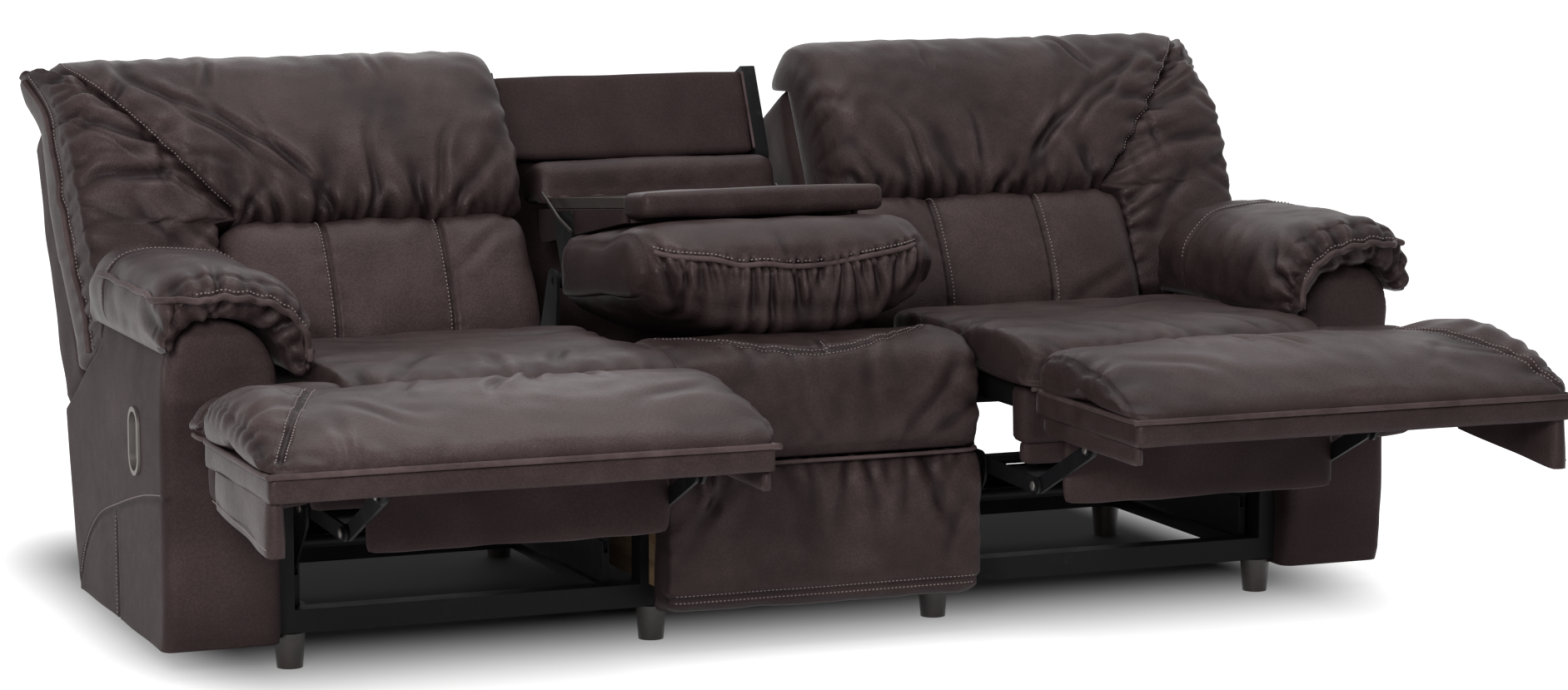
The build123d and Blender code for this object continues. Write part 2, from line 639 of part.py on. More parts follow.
def footrest_wings():
    """Padded side flaps under the board: deep at the outer end, shallow at the inner."""
    y_front = FOOTREST_FRONT_Y + 12
    y_rear = FOOTREST_REAR_Y - 55
    top = BOARD_BOTTOM_Z
    outer_outline = [
        (y_front, top - WING_DROP_FRONT), (y_rear, top - WING_DROP_REAR), (y_rear, top), (y_front, top),
    ]
    outer = side_slab(outer_outline, [10, 14, 2, 2], FOOTREST_OUTER_X - WING_THICKNESS, FOOTREST_OUTER_X)
    inner_outline = [
        (y_front, top - INNER_WING_DROP), (y_rear + 30, top - INNER_WING_DROP), (y_rear + 30, top), (y_front, top),
    ]
    x0 = BAY_INNER_X + 2
    inner = side_slab(inner_outline, [8, 12, 2, 2], x0, x0 + WING_THICKNESS / 2)
    return Compound([outer, inner])


# ---------------------------------------------------------------- centre seat

def centre_box():
    """Plywood sides and deck under the centre seat."""
    outline = [
        (CENTRE_FRONT_Y + 92, RAIL_TOP_Z), (REAR_POST_Y, RAIL_TOP_Z), (REAR_POST_Y, 400), (110, 400),
        (84, CENTRE_DECK_Z + PLY), (CENTRE_FRONT_Y + 92, CENTRE_DECK_Z + PLY),
    ]
    side = side_slab(outline, [2, 2, 12, 12, 6, 2], CENTRE_PANEL_X, CENTRE_PANEL_X + PLY)
    deck = block(-CENTRE_PANEL_X, CENTRE_PANEL_X, CENTRE_FRONT_Y + 92, 60, CENTRE_DECK_Z, CENTRE_DECK_Z + PLY)
    return Compound([side, mirror(side, about=Plane.YZ), deck])


def centre_seat_cushion():
    """Centre seat pad: high at its rolled nose and lower where the console hangs over it."""
    bottom = CENTRE_SEAM_Z + 2
    corners = [
        (CENTRE_FRONT_Y + 34, bottom), (55, bottom), (60, 408), (-360, CENTRE_CREST_Z - 48),
        (-515, CENTRE_CREST_Z - 2), (CENTRE_FRONT_Y + 4, CENTRE_CREST_Z - 84),
    ]
    stations = pad_stations(-CENTRE_HALF, CENTRE_HALF, 14)
    return cushion(corners, [1, 3, 5, 7, 15, 8], stations, side_plane)


def centre_front_panel():
    """Padded panel below the centre seat."""
    corners = [
        (CENTRE_FRONT_Y + 30, CENTRE_HEM_Z), (CENTRE_FRONT_Y + 90, CENTRE_HEM_Z), (CENTRE_FRONT_Y + 90, CENTRE_SEAM_Z - 4),
        (CENTRE_FRONT_Y + 26, CENTRE_SEAM_Z - 4), (CENTRE_FRONT_Y + 6, 200),
    ]
    stations = pad_stations(-CENTRE_HALF, CENTRE_HALF, 8)
    return cushion(corners, [1, 0.5, 1, 6, 6], stations, side_plane)


def panel_point(along, depth=0):
    """Point on the rear panel's front face, by height along it and depth behind it."""
    lean = math.radians(REAR_PANEL_LEAN)
    y, z = REAR_PANEL_FOOT
    return (y + along * math.sin(lean) + depth * math.cos(lean), z + along * math.cos(lean) - depth * math.sin(lean))


def panel_length(top_z):
    return (top_z - REAR_PANEL_FOOT[1]) / math.cos(math.radians(REAR_PANEL_LEAN))


def rear_posts():
    """Posts from the rear feet, bent back beside the rear panel."""
    length = panel_length(POST_TOP_Z)
    front, rear = REAR_POST_Y, REAR_POST_Y + 44
    outline = [
        (front, FOOT_HEIGHT), (rear, FOOT_HEIGHT), (rear, REAR_PANEL_FOOT[1] - 24),
        panel_point(length, 40), panel_point(length, -4), (front, REAR_PANEL_FOOT[1] - 4),
    ]
    post = side_slab(outline, [2, 2, 60, 6, 6, 30], REAR_PANEL_HALF, REAR_PANEL_HALF + POST_WIDTH)
    return Compound([post, mirror(post, about=Plane.YZ)])


def rear_panel():
    """Flat upholstered board between the posts."""
    length = panel_length(REAR_PANEL_TOP_Z)
    outline = [panel_point(0), panel_point(0, 20), panel_point(length, 20), panel_point(length)]
    return side_slab(outline, 4, -REAR_PANEL_HALF, REAR_PANEL_HALF)


def outside_back():
    """Cover board behind the centre section."""
    y = REAR_POST_Y + 44
    length = panel_length(POST_TOP_Z)
    outline = [
        (y, FOOT_HEIGHT + 12), (y + 10, FOOT_HEIGHT + 12), (y + 10, REAR_PANEL_FOOT[1] - 27),
        panel_point(length, 50), panel_point(length, 40), (y, REAR_PANEL_FOOT[1] - 24),
    ]
    half = REAR_PANEL_HALF + POST_WIDTH
    return side_slab(outline, [3, 3, 60, 3, 3, 60], -half, half)


# ---------------------------------------------------------------- console

def tilted(shape):
    """Shape drawn level about the table line, set at the console's tilt."""
    return Pos(0, 0, TABLE_Z) * Rot(-CONSOLE_TILT, 0, 0) * shape


def console_brackets():
    """Brackets from the centre box's sides up to the console pivot."""
    py, pz = CONSOLE_PIVOT
    outline = [
        (py - 22, pz + 22), (py - 22, pz - 30), (py + 10, 330), (py + 110, 330), (py + 110, 384), (py + 22, pz + 22),
    ]
    plate = side_slab(outline, [20, 20, 14, 10, 20, 20], BRACKET_X, CENTRE_PANEL_X)
    plate -= rod(CONSOLE_PIVOT, PIVOT_RADIUS + FIT, BRACKET_X - 1, CENTRE_PANEL_X + 1)
    return Compound([plate, mirror(plate, about=Plane.YZ)])


def console_plates():
    """Steel side plates of the console, with their pivot studs."""
    py, pz = CONSOLE_PIVOT
    outline = [
        (py - 22, pz - 20), (py + 22, pz - 20), (py + 70, TABLE_Z - 87), (py + 70, TABLE_Z - 43), (py - 22, TABLE_Z - 33),
    ]
    plate = side_slab(outline, [18, 18, 12, 8, 8], CONSOLE_HALF, CONSOLE_HALF + STEEL)
    plate += rod(CONSOLE_PIVOT, PIVOT_RADIUS, CONSOLE_HALF + 1, CENTRE_PANEL_X - 1)
    plate += rod(CONSOLE_PIVOT, PIVOT_RADIUS + 6, CONSOLE_HALF + STEEL - 1, BRACKET_X - 1)
    return Compound([plate, mirror(plate, about=Plane.YZ)])


def console_stay():
    """Bent wire stay outside each side plate."""
    x = CONSOLE_HALF + STEEL + 3.3
    path = FilletPolyline((x, 74, 657), (x, 143, 674), (x, 238, 712), radius=20)
    wire = sweep(Plane(origin=path @ 0, z_dir=path % 0) * Circle(3), path=path)
    return Compound([wire, mirror(wire, about=Plane.YZ)])


def console_box():
    """Upholstered tub under the table, open on top for the tray."""
    front, rear = TABLE_FRONT + SLAB_DEPTH + 2, 300
    outline = [(front, -22), (front, -48), (rear - 30, -88), (rear, -60), (rear, -22)]
    tub = side_slab(outline, [3, 8, 14, 16, 3], -CONSOLE_HALF, CONSOLE_HALF)
    inner = [(front + 12, -10), (front + 12, -38), (rear - 38, -81), (rear - 14, -54), (rear - 14, -10)]
    tub -= side_slab(inner, 2, BOX_WALL - CONSOLE_HALF, CONSOLE_HALF - BOX_WALL)
    return tilted(tub)


def console_tray():
    """Moulded table top with a raised rim and two cup wells."""
    front = TABLE_FRONT + SLAB_DEPTH + 3
    half = CONSOLE_HALF - 4
    middle_y = (front + TRAY_REAR) / 2
    length = TRAY_REAR - front
    plate = Pos(0, middle_y, -11.5) * Box(2 * half, length, 19)
    plate = fillet(plate.edges().filter_by(Axis.Z), 12)
    dish = Pos(0, middle_y, 0) * Box(2 * half - 20, length - 20, 8)
    plate -= fillet(dish.edges().filter_by(Axis.Z), 8)
    for side in (-1, 1):
        well = Pos(side * CUP_SPACING / 2, CUP_CENTRE_Y, 0)
        plate += well * Pos(0, 0, -10 - (CUP_WELL_DEPTH - 10) / 2) * Cylinder(
            CUP_RADIUS + TRAY_WALL, CUP_WELL_DEPTH - 10
        )
        plate -= well * Pos(0, 0, TRAY_WALL - CUP_WELL_DEPTH / 2) * Cylinder(CUP_RADIUS, CUP_WELL_DEPTH)
    return tilted(plate)


def console_slab():
    """Padded front edge of the table."""
    y1 = TABLE_FRONT + SLAB_DEPTH
    return tilted(block(-CONSOLE_HALF - 2, CONSOLE_HALF + 2, TABLE_FRONT, y1, 6 - SLAB_HEIGHT, 6, 12))


def console_bolster():
    """Padded roll behind the table."""
    y0 = TRAY_REAR + 6
    y1 = y0 + BOLSTER_DEPTH
    corners = [(y0, -14), (y1 - 8, -14), (y1, BOLSTER_HEIGHT - 26), (y0 + 4, BOLSTER_HEIGHT - 22)]
    stations = pad_stations(-CONSOLE_HALF - 10, CONSOLE_HALF + 10, 12)
    return tilted(cushion(corners, [2, 4, 20, 4], stations, side_plane))


def console_cushion():
    """Pad under the table: the seat back's face when the console is up."""
    corners = [
        (TABLE_FRONT - 131, CONSOLE_PAD_BOTTOM + 18), (TABLE_FRONT - 5, CONSOLE_PAD_BOTTOM + 4),
        (46, CONSOLE_PAD_BOTTOM + 6), (60, CONSOLE_PAD_BOTTOM + 32), (56, -SLAB_HEIGHT - 36),
        (TABLE_FRONT + 125, -SLAB_HEIGHT - 8), (TABLE_FRONT - 35, -SLAB_HEIGHT - 6), (TABLE_FRONT - 143, -SLAB_HEIGHT - 50),
    ]
    bows = [6, 3, 4, 2, 2, 1, 3, 9]
    stations = pad_stations(-CONSOLE_CUSHION_HALF, CONSOLE_CUSHION_HALF, 16)
    return tilted(cushion(corners, bows, stations, side_plane))


def save_all():
    os.makedirs("parts", exist_ok=True)
    save("front_feet", foot_row(FOOT_Y_FRONT))
    save("rear_feet", rear_feet())
    save("cross_rails", Compound([cross_rail(FOOT_Y_FRONT), cross_rail(FOOT_Y_REAR)]))
    save("side_rails", side_rails())
    save("slide_channels", slide_channels())
    save("front_posts", front_posts())
    save_pair("arm", arm())
    save_pair("arm_pad", arm_pad())
    save_pair("release_bezel", release_bezel())
    save_pair("release_paddle", release_paddle())
    save_pair("seat_side_plates", both_mech_sides(seat_side_plate()))
    save_pair("seat_cross_tubes", seat_cross_tubes())
    save_pair("seat_frame", seat_frame())
    save_pair("seat_front_rail", seat_front_rail())
    save_pair("seat_cushion", seat_cushion())
    save_pair("back_shell", back_shell())
    save_pair("back_brackets", both_mech_sides(back_bracket()))
    save_pair("headrest_pillow", headrest_pillow())
    save_pair("lumbar_pad", lumbar_pad())
    save_pair("back_side_pad", back_side_pad())
    save_pair("link_a", link_a())
    save_pair("link_b", link_b())
    save_pair("flipper_panel", flipper_panel())
    save_pair("footrest_board", footrest_board())
    save_pair("footrest_pad", footrest_pad())
    save_pair("footrest_wings", footrest_wings())
    save("centre_box", centre_box())
    save("centre_seat_cushion", centre_seat_cushion())
    save("centre_front_panel", centre_front_panel())
    save("rear_posts", rear_posts())
    save("rear_panel", rear_panel())
    save("outside_back", outside_back())
    save("console_brackets", console_brackets())
    save("console_plates", console_plates())
    save("console_stays", console_stay())
    save("console_box", console_box())
    save("console_tray", console_tray())
    save("console_slab", console_slab())
    save("console_bolster", console_bolster())
    save("console_cushion", console_cushion())


save_all()
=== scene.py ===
"""Reclining sofa with a fold-down centre console: covers, stitching, mechanism trim and stage."""
import math

import bmesh
import bpy
import numpy as np
from mathutils import Matrix, Vector


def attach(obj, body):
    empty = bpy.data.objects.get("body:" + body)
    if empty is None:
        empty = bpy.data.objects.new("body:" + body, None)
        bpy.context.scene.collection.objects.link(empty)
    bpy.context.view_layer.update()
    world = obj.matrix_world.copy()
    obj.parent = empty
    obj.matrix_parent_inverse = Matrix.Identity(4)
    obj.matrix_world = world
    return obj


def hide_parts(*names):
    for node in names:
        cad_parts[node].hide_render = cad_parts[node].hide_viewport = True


bl_info = {
    "name": "Reclining Sofa with Console",
    "version": (1, 0, 0),
    "blender": (4, 5, 0),
    "location": "View3D > Sidebar > Sofa",
    "description": "Builds the covers, seams and stage of a reclining sofa on its packed frame",
    "category": "Object",
}

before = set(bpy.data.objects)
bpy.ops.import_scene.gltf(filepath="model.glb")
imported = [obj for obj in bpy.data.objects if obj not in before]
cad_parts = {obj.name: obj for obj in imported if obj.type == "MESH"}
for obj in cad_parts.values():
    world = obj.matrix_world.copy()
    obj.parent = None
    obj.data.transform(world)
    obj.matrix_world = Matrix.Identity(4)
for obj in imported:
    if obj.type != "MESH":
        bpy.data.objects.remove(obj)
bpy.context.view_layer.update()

# Outlines are drawn about an origin of their own, which lies at y = SHIFT in the frame.
SHIFT = 0.298
RIGHT, LEFT = 1, -1
SIDES = (("right", RIGHT), ("left", LEFT))
# The backs' own axes lean back by RECLINE about their pivot (y, z).
RECLINE = math.radians(27.5)
BACK_PIVOT = (0.120 + SHIFT, 0.290)
# The console's own axes tilt by TILT about its table line.
TILT = math.radians(5.5)
TABLE_Z = 0.727
BOARD_LEAN = math.radians(25)

WAVE_COUNT = 18
GROOVE_SHOULDER = 0.35
CORD_SIDES = 8
# Welts are stored as a ridge, so the cover's colour lightens them: partly rubbed wear, partly painted highlight.
CORD_FOLD = 0.004


# ---------------------------------------------------------------- shaping helpers

def smooth_loop(points, count, closed=True):
    """Even samples along a Catmull-Rom curve through the points."""
    p = np.array(points, float)
    n = len(p)
    spans = n if closed else n - 1
    t = np.linspace(0, spans, 32 * n, endpoint=not closed)
    i = np.minimum(t.astype(int), spans - 1)
    f = (t - i)[:, None]
    if closed:
        p0, p1, p2, p3 = p[(i - 1) % n], p[i % n], p[(i + 1) % n], p[(i + 2) % n]
    else:
        p0, p1, p2, p3 = p[np.maximum(i - 1, 0)], p[i], p[i + 1], p[np.minimum(i + 2, n - 1)]
    c = 0.5 * (2 * p1 + (p2 - p0) * f + (2 * p0 - 5 * p1 + 4 * p2 - p3) * f ** 2
               + (3 * p1 - p0 - 3 * p2 + p3) * f ** 3)
    line = np.vstack([c, c[:1]]) if closed else c
    run = np.r_[0, np.cumsum(np.linalg.norm(np.diff(line, axis=0), axis=1))]
    s = np.linspace(0, run[-1], count, endpoint=not closed)
    return np.column_stack([np.interp(s, run, line[:, k]) for k in range(p.shape[1])])


def rise(value, start, length):
    """Zero up to start, one from a length further on."""
    return np.clip((value - start) / length, 0, 1)


def fall(value, end, length):
    """One up to a length before end, zero from end on."""
    return np.clip((end - value) / length, 0, 1)


def waves(points, length, seed):
    """Smooth random field: sum of waves of about one length in fixed random directions."""
    rng = np.random.default_rng(seed)
    total = np.zeros(points.shape[:-1])
    for _ in range(WAVE_COUNT):
        direction = rng.normal(size=points.shape[-1])
        direction *= 2 * math.pi / (length * rng.uniform(0.7, 1.5)) / np.linalg.norm(direction)
        total += np.sin(points @ direction + rng.uniform(0, 2 * math.pi))
    return total / math.sqrt(WAVE_COUNT)


def pleats(along, away, span, seed, pitch=0.035, reach=0.09, depth=0.004, lean=0.25, rise=0.02):
    """Gathers that start at a seam: valleys across it that fade with distance from it."""
    rng = np.random.default_rng(seed)
    total = np.zeros(along.shape)
    low, high = span
    spot = low + pitch * rng.uniform(0.2, 0.8)
    distance = np.maximum(away, 0)
    while spot < high:
        width = pitch * rng.uniform(0.16, 0.34)
        length = reach * rng.uniform(0.35, 1.25)
        slope = rng.normal() * lean
        strength = depth * rng.uniform(0.45, 1.25)
        offset = (along - spot - slope * distance) / (width * (1 + distance / length))
        fade = np.exp(-(distance / length) ** 1.6) * (1 - 0.45 * np.exp(-distance / rise))
        total -= strength * np.exp(-offset ** 2) * fade
        total += 0.55 * strength * np.exp(-(np.abs(offset) - 1.7) ** 2) * fade
        spot += pitch * rng.uniform(0.6, 1.45)
    return total * (away > -0.012)


def folds(along, away, lines):
    """Long creases, each (along, away, direction in degrees, half length, width, depth)."""
    total = np.zeros(along.shape)
    for a, b, angle, half, width, depth in lines:
        c, s = math.cos(math.radians(angle)), math.sin(math.radians(angle))
        u = (along - a) * c + (away - b) * s
        v = -(along - a) * s + (away - b) * c + 0.12 * half * np.sin(u / half * 2.2)
        total += depth * np.exp(-(u / half) ** 2) * (-np.exp(-(v / width) ** 2)
                                                     + 0.6 * np.exp(-((v - 1.9 * width) / (1.2 * width)) ** 2)
                                                     + 0.45 * np.exp(-((v + 1.9 * width) / (1.2 * width)) ** 2))
    return total


def groove(distance, width, depth):
    """Profile of a sewn seam by signed distance from it, with a slightly raised shoulder."""
    d = np.abs(distance) / width
    return depth * (-np.exp(-d ** 2) + GROOVE_SHOULDER * np.exp(-(d - 2.4) ** 2))


def line_field(along, away, line):
    """Signed distance from a drawn line for every point of a surface."""
    pts = np.asarray(line, float)
    best = np.full(along.shape, 1e9)
    side = np.zeros(along.shape)
    for a, b in zip(pts[:-1], pts[1:]):
        edge = b - a
        length = float(np.hypot(*edge))
        u = ((along - a[0]) * edge[0] + (away - a[1]) * edge[1]) / length ** 2
        uc = np.clip(u, 0, 1)
        dx, dy = along - a[0] - uc * edge[0], away - a[1] - uc * edge[1]
        d = np.hypot(dx, dy)
        near = d < best
        best = np.where(near, d, best)
        side = np.where(near, np.sign(edge[0] * dy - edge[1] * dx), side)
    return best * np.where(side == 0, 1, side)


def long_spine(ring):
    """Middle line of a long flat outline, and every point's run along it."""
    centre = ring.mean(axis=0)
    axes = np.linalg.svd(ring - centre, full_matrices=False)[2]
    run = (ring - centre) @ axes[0]
    half = 0.5 * np.ptp((ring - centre) @ axes[1])
    low, high = run.min() + half, run.max() - half
    if low > high:
        low = high = 0.5 * (low + high)
    return centre + np.clip(run, low, high)[:, None] * axes[0], run


def centre_spine(ring):
    """Middle point of an outline, and every point's run along its longest direction."""
    middle = ring.mean(axis=0)
    return middle, (ring - middle) @ np.linalg.svd(ring - middle)[2][0]


class Skin:
    """Closed cover: rows of rings along a direction, with rounded caps at both ends."""

    def __init__(self, rings, cap_depth=(0.006, 0.006), cap_rows=8, spine=long_spine):
        self.rings = np.asarray(rings, float)
        self.cap_depth = cap_depth
        self.cap_rows = cap_rows
        self.spine = spine
        self.fold = np.zeros(self.rings.shape[:2])

    def normals(self):
        """Unit normals that point out of the cover."""
        g = self.rings
        du = np.gradient(g, axis=0)
        dv = np.roll(g, -1, axis=1) - np.roll(g, 1, axis=1)
        n = np.cross(du, dv)
        n /= np.maximum(np.linalg.norm(n, axis=2, keepdims=True), 1e-9)
        out = g - g.mean(axis=1, keepdims=True)
        return n if (n * out).sum() > 0 else -n

    def places(self, shift=0.0):
        """Across, along and height of every point, with along measured from shift."""
        return self.rings[:, :, 0].copy(), self.rings[:, :, 1] - shift, self.rings[:, :, 2].copy()

    def push(self, amount):
        """Move the cover along its normals, and remember valleys and ridges for the colour: painted shade in the
        valleys, and ridges lightened as rubbed wear and painted highlight.
        """
        self.rings += self.normals() * amount[..., None]
        self.fold += amount

    def mesh(self, name, side=RIGHT):
        """Closed mesh of the cover, with its folds stored for the colour's painted shade and highlight."""
        nu, nv, _ = self.rings.shape
        rows = [self.rings[i] for i in range(nu)]
        marks = [self.fold[i] for i in range(nu)]
        first = self.cap(self.rings[0], self.rings[0].mean(0) - self.rings[1].mean(0), self.cap_depth[0])
        last = self.cap(self.rings[-1], self.rings[-1].mean(0) - self.rings[-2].mean(0), self.cap_depth[1])
        rows = first[0][::-1] + rows + last[0]
        fades = [(1 - (k + 1) / self.cap_rows) ** 1.5 for k in range(len(first[0]))]
        marks = [self.fold[0] * f for f in fades[::-1]] + marks + [self.fold[-1] * f for f in fades]
        verts = np.vstack(rows)
        fold = np.concatenate(marks)
        count = len(rows)
        i, j = np.meshgrid(np.arange(count - 1), np.arange(nv), indexing="ij")
        k = (j + 1) % nv
        quads = np.stack([i * nv + j, (i + 1) * nv + j, (i + 1) * nv + k, i * nv + k], axis=-1).reshape(-1, 4)
        tris = [tuple(int(v) for v in face) for face in zipped(first[1])]
        tris += [tuple(int(v) + (count - 1) * nv for v in face[::-1]) for face in zipped(last[1])]
        if side == LEFT:
            verts = verts * (-1, 1, 1)
        data = bpy.data.meshes.new(name)
        data.from_pydata(verts.tolist(), [], [tuple(q) for q in quads.tolist()] + tris)
        tidy_mesh(data)
        mark_fold(data, fold)
        return data

    def cap(self, ring, out, depth):
        """Rows that round an end over towards its middle line, and each point's run along that line."""
        out = out / np.linalg.norm(out)
        middle, run = self.spine(ring)
        rows = []
        for k in range(1, self.cap_rows + 1):
            f = min(k / self.cap_rows, 0.985)
            rows.append(middle + (ring - middle) * (1 - f) + out * depth * math.sqrt(1 - (1 - f) ** 2))
        return rows, run


def zipped(run):
    """Triangles that close a flattened ring, taking its two sides by their run."""
    n = len(run)
    start, end = int(np.argmin(run)), int(np.argmax(run))
    one = [(start + k) % n for k in range((end - start) % n + 1)]
    two = [(start - k) % n for k in range((start - end) % n + 1)]
    faces, a, b = [], 0, 0
    while a < len(one) - 1 or b < len(two) - 1:
        if b >= len(two) - 1 or (a < len(one) - 1 and run[one[a + 1]] <= run[two[b + 1]]):
            if one[a + 1] != two[b]:
                faces.append((one[a], one[a + 1], two[b]))
            a += 1
        else:
            if two[b + 1] != one[a]:
                faces.append((one[a], two[b + 1], two[b]))
            b += 1
    return [face for face in faces if len(set(face)) == 3]


def tidy_mesh(data):
    """Consistent outward faces and smooth shading."""
    bm = bmesh.new()
    bm.from_mesh(data)
    bmesh.ops.recalc_face_normals(bm, faces=bm.faces)
    bm.to_mesh(data)
    bm.free()
    data.polygons.foreach_set("use_smooth", [True] * len(data.polygons))
    data.update()


def mark_fold(data, values):
    """Store how far each point was moved in or out, for the cover's colour: painted shade in valleys, ridges lightened
    as rubbed wear and painted highlight.
    """
    attribute = data.attributes.new("fold", "FLOAT", "POINT")
    attribute.data.foreach_set("value", values.astype(np.float32))


def linked(name, data):
    """New object in the scene, at the origin."""
    item = bpy.data.objects.new(name, data)
    bpy.context.scene.collection.objects.link(item)
    return item


def evaluated(item):
    """Mesh that an object's modifiers make."""
    return bpy.data.meshes.new_from_object(item.evaluated_get(bpy.context.evaluated_depsgraph_get()))


def add_object(name, data, material, body, replaced=()):
    """Put a finished mesh in the scene as a piece on one body."""
    piece = linked(name, data)
    if material is not None:
        data.materials.clear()
        data.materials.append(material)
    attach(piece, body)
    if replaced:
        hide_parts(*replaced)
    return piece


def rounded_end(t, turn):
    """Share of the full size left at t along a pad whose ends turn in over a length."""
    inside = np.clip(np.minimum(t, 1 - t) / turn, 0, 1)
    return np.sqrt(1 - (1 - inside) ** 2)


def ring_stack(profile, xs, inset, turn):
    """Rings of a side profile at stations across the sofa, drawn in towards both ends."""
    centre = profile.mean(axis=0)
    rel = profile - centre
    radius = np.linalg.norm(rel, axis=1, keepdims=True)
    length = xs[-1] - xs[0]
    rings = []
    for x in xs:
        t = (x - xs[0]) / length
        share = float(rounded_end(np.array(t), turn / length))
        pull = inset * (1 - share)
        section = centre + rel * (1 - pull / np.maximum(radius, 1e-6))
        rings.append(np.column_stack([np.full(len(section), x), section]))
    return np.array(rings)


def end_spaced(x0, x1, count):
    """Stations that crowd towards both ends."""
    t = np.linspace(0, 1, count)
    s = 0.5 - 0.5 * np.cos(math.pi * t)
    mix = 0.55
    return x0 + (x1 - x0) * (mix * t + (1 - mix) * s)


def leaned(points):
    """Points drawn upright from the back pivot, set at the reclined angle."""
    out = np.array(points, float)
    w, h = out[..., 1].copy(), out[..., 2].copy()
    out[..., 1] = BACK_PIVOT[0] + w * math.cos(RECLINE) + h * math.sin(RECLINE)
    out[..., 2] = BACK_PIVOT[1] - w * math.sin(RECLINE) + h * math.cos(RECLINE)
    return out


def tilted(points):
    """Points drawn level about the console's table line, set at its tilt."""
    out = np.array(points, float)
    y, z = out[..., 1].copy(), out[..., 2].copy()
    out[..., 1] = SHIFT + y * math.cos(TILT) + z * math.sin(TILT)
    out[..., 2] = TABLE_Z - y * math.sin(TILT) + z * math.cos(TILT)
    return out


def mirrored(points, side):
    """Points of the right side, moved to either side."""
    return np.asarray(points, float) * (side, 1, 1)


def surface_line(skin, u, v):
    """Points on a cover at fractional row and column numbers."""
    nu, nv, _ = skin.rings.shape
    u = np.clip(np.asarray(u, float), 0, nu - 1.001)
    v = np.asarray(v, float) % nv
    i, j = u.astype(int), v.astype(int)
    fu, fv = (u - i)[:, None], (v - j)[:, None]
    g = skin.rings
    j1 = (j + 1) % nv
    return ((1 - fu) * (1 - fv) * g[i, j] + fu * (1 - fv) * g[i + 1, j]
            + (1 - fu) * fv * g[i, j1] + fu * fv * g[i + 1, j1])


def cord_mesh(points, radius):
    """Round cord of mesh along points, for a welt."""
    p = np.asarray(points, float)
    n = len(p)
    tangent = np.gradient(p, axis=0)
    tangent /= np.maximum(np.linalg.norm(tangent, axis=1, keepdims=True), 1e-9)
    up = np.array([0.0, 0.0, 1.0])
    if abs(tangent[0] @ up) > 0.9:
        up = np.array([1.0, 0.0, 0.0])
    frame_n = []
    normal = up - tangent[0] * (up @ tangent[0])
    normal /= np.linalg.norm(normal)
    for t in tangent:
        normal = normal - t * (normal @ t)
        normal /= max(np.linalg.norm(normal), 1e-9)
        frame_n.append(normal)
    frame_n = np.array(frame_n)
    binormal = np.cross(tangent, frame_n)
    a = np.linspace(0, 2 * math.pi, CORD_SIDES, endpoint=False)
    rings = p[:, None] + radius * (np.cos(a)[None, :, None] * frame_n[:, None]
                                   + np.sin(a)[None, :, None] * binormal[:, None])
    verts = rings.reshape(-1, 3)
    faces = []
    for i in range(n - 1):
        k = i + 1
        for j in range(CORD_SIDES):
            m = (j + 1) % CORD_SIDES
            faces.append((i * CORD_SIDES + j, i * CORD_SIDES + m, k * CORD_SIDES + m, k * CORD_SIDES + j))
    faces.append(tuple(range(CORD_SIDES))[::-1])
    faces.append(tuple((n - 1) * CORD_SIDES + j for j in range(CORD_SIDES)))
    data = bpy.data.meshes.new("welt")
    data.from_pydata(verts.tolist(), [], faces)
    tidy_mesh(data)
    mark_fold(data, np.full(len(verts), CORD_FOLD))
    return data


def join_meshes(name, parts):
    """One mesh out of several, with their attributes kept."""
    bm = bmesh.new()
    for part in parts:
        bm.from_mesh(part)
    data = bpy.data.meshes.new(name)
    bm.to_mesh(data)
    bm.free()
    for part in parts:
        bpy.data.meshes.remove(part)
    data.polygons.foreach_set("use_smooth", [True] * len(data.polygons))
    data.update()
    return data


# ---------------------------------------------------------------- materials

def new_group(name, inputs):
    """Shader group that gives colour, roughness and height; returns it with its input and output nodes."""
    group = bpy.data.node_groups.new(name, "ShaderNodeTree")
    face = group.interface
    for label, value in inputs:
        kind = "NodeSocketColor" if isinstance(value, tuple) else "NodeSocketFloat"
        face.new_socket(label, in_out="INPUT", socket_type=kind).default_value = value
    face.new_socket("Color", in_out="OUTPUT", socket_type="NodeSocketColor")
    for label in ("Roughness", "Height"):
        face.new_socket(label, in_out="OUTPUT", socket_type="NodeSocketFloat")
    return group, group.nodes.new("NodeGroupInput"), group.nodes.new("NodeGroupOutput")


def new_node(tree, kind, **values):
    """Node with values set on the inputs of those names."""
    node = tree.nodes.new(kind)
    for label, value in values.items():
        node.inputs[label].default_value = value
    return node


def link(tree, source, output, target, entry):
    tree.links.new(source.outputs[output], target.inputs[entry])


def math_node(tree, operation, a, b=None, clamp=False):
    """Output of a maths node whose inputs are numbers or other outputs."""
    node = tree.nodes.new("ShaderNodeMath")
    node.operation = operation
    node.use_clamp = clamp
    for socket, value in zip(node.inputs, (a, b)):
        if value is None:
            continue
        if isinstance(value, (int, float)):
            socket.default_value = value
        else:
            tree.links.new(value, socket)
    return node.outputs[0]


def noise_node(tree, vector, scale, detail=3.0, rough=0.5, stretch=None):
    """Output of a noise texture, drawn out by stretch."""
    node = new_node(tree, "ShaderNodeTexNoise", Detail=detail, Roughness=rough)
    if isinstance(scale, (int, float)):
        node.inputs["Scale"].default_value = scale
    else:
        tree.links.new(scale, node.inputs["Scale"])
    if stretch:
        mapping = new_node(tree, "ShaderNodeMapping", Scale=stretch)
        tree.links.new(vector, mapping.inputs["Vector"])
        vector = mapping.outputs["Vector"]
    tree.links.new(vector, node.inputs["Vector"])
    return node.outputs["Fac"]


def mix_colour(tree, factor, a, b, blend="MIX"):
    node = tree.nodes.new("ShaderNodeMix")
    node.data_type = "RGBA"
    node.blend_type = blend
    for socket, value in ((node.inputs[0], factor), (node.inputs[6], a), (node.inputs[7], b)):
        if isinstance(value, (int, float, tuple)):
            socket.default_value = value
        else:
            tree.links.new(value, socket)
    return node.outputs[2]


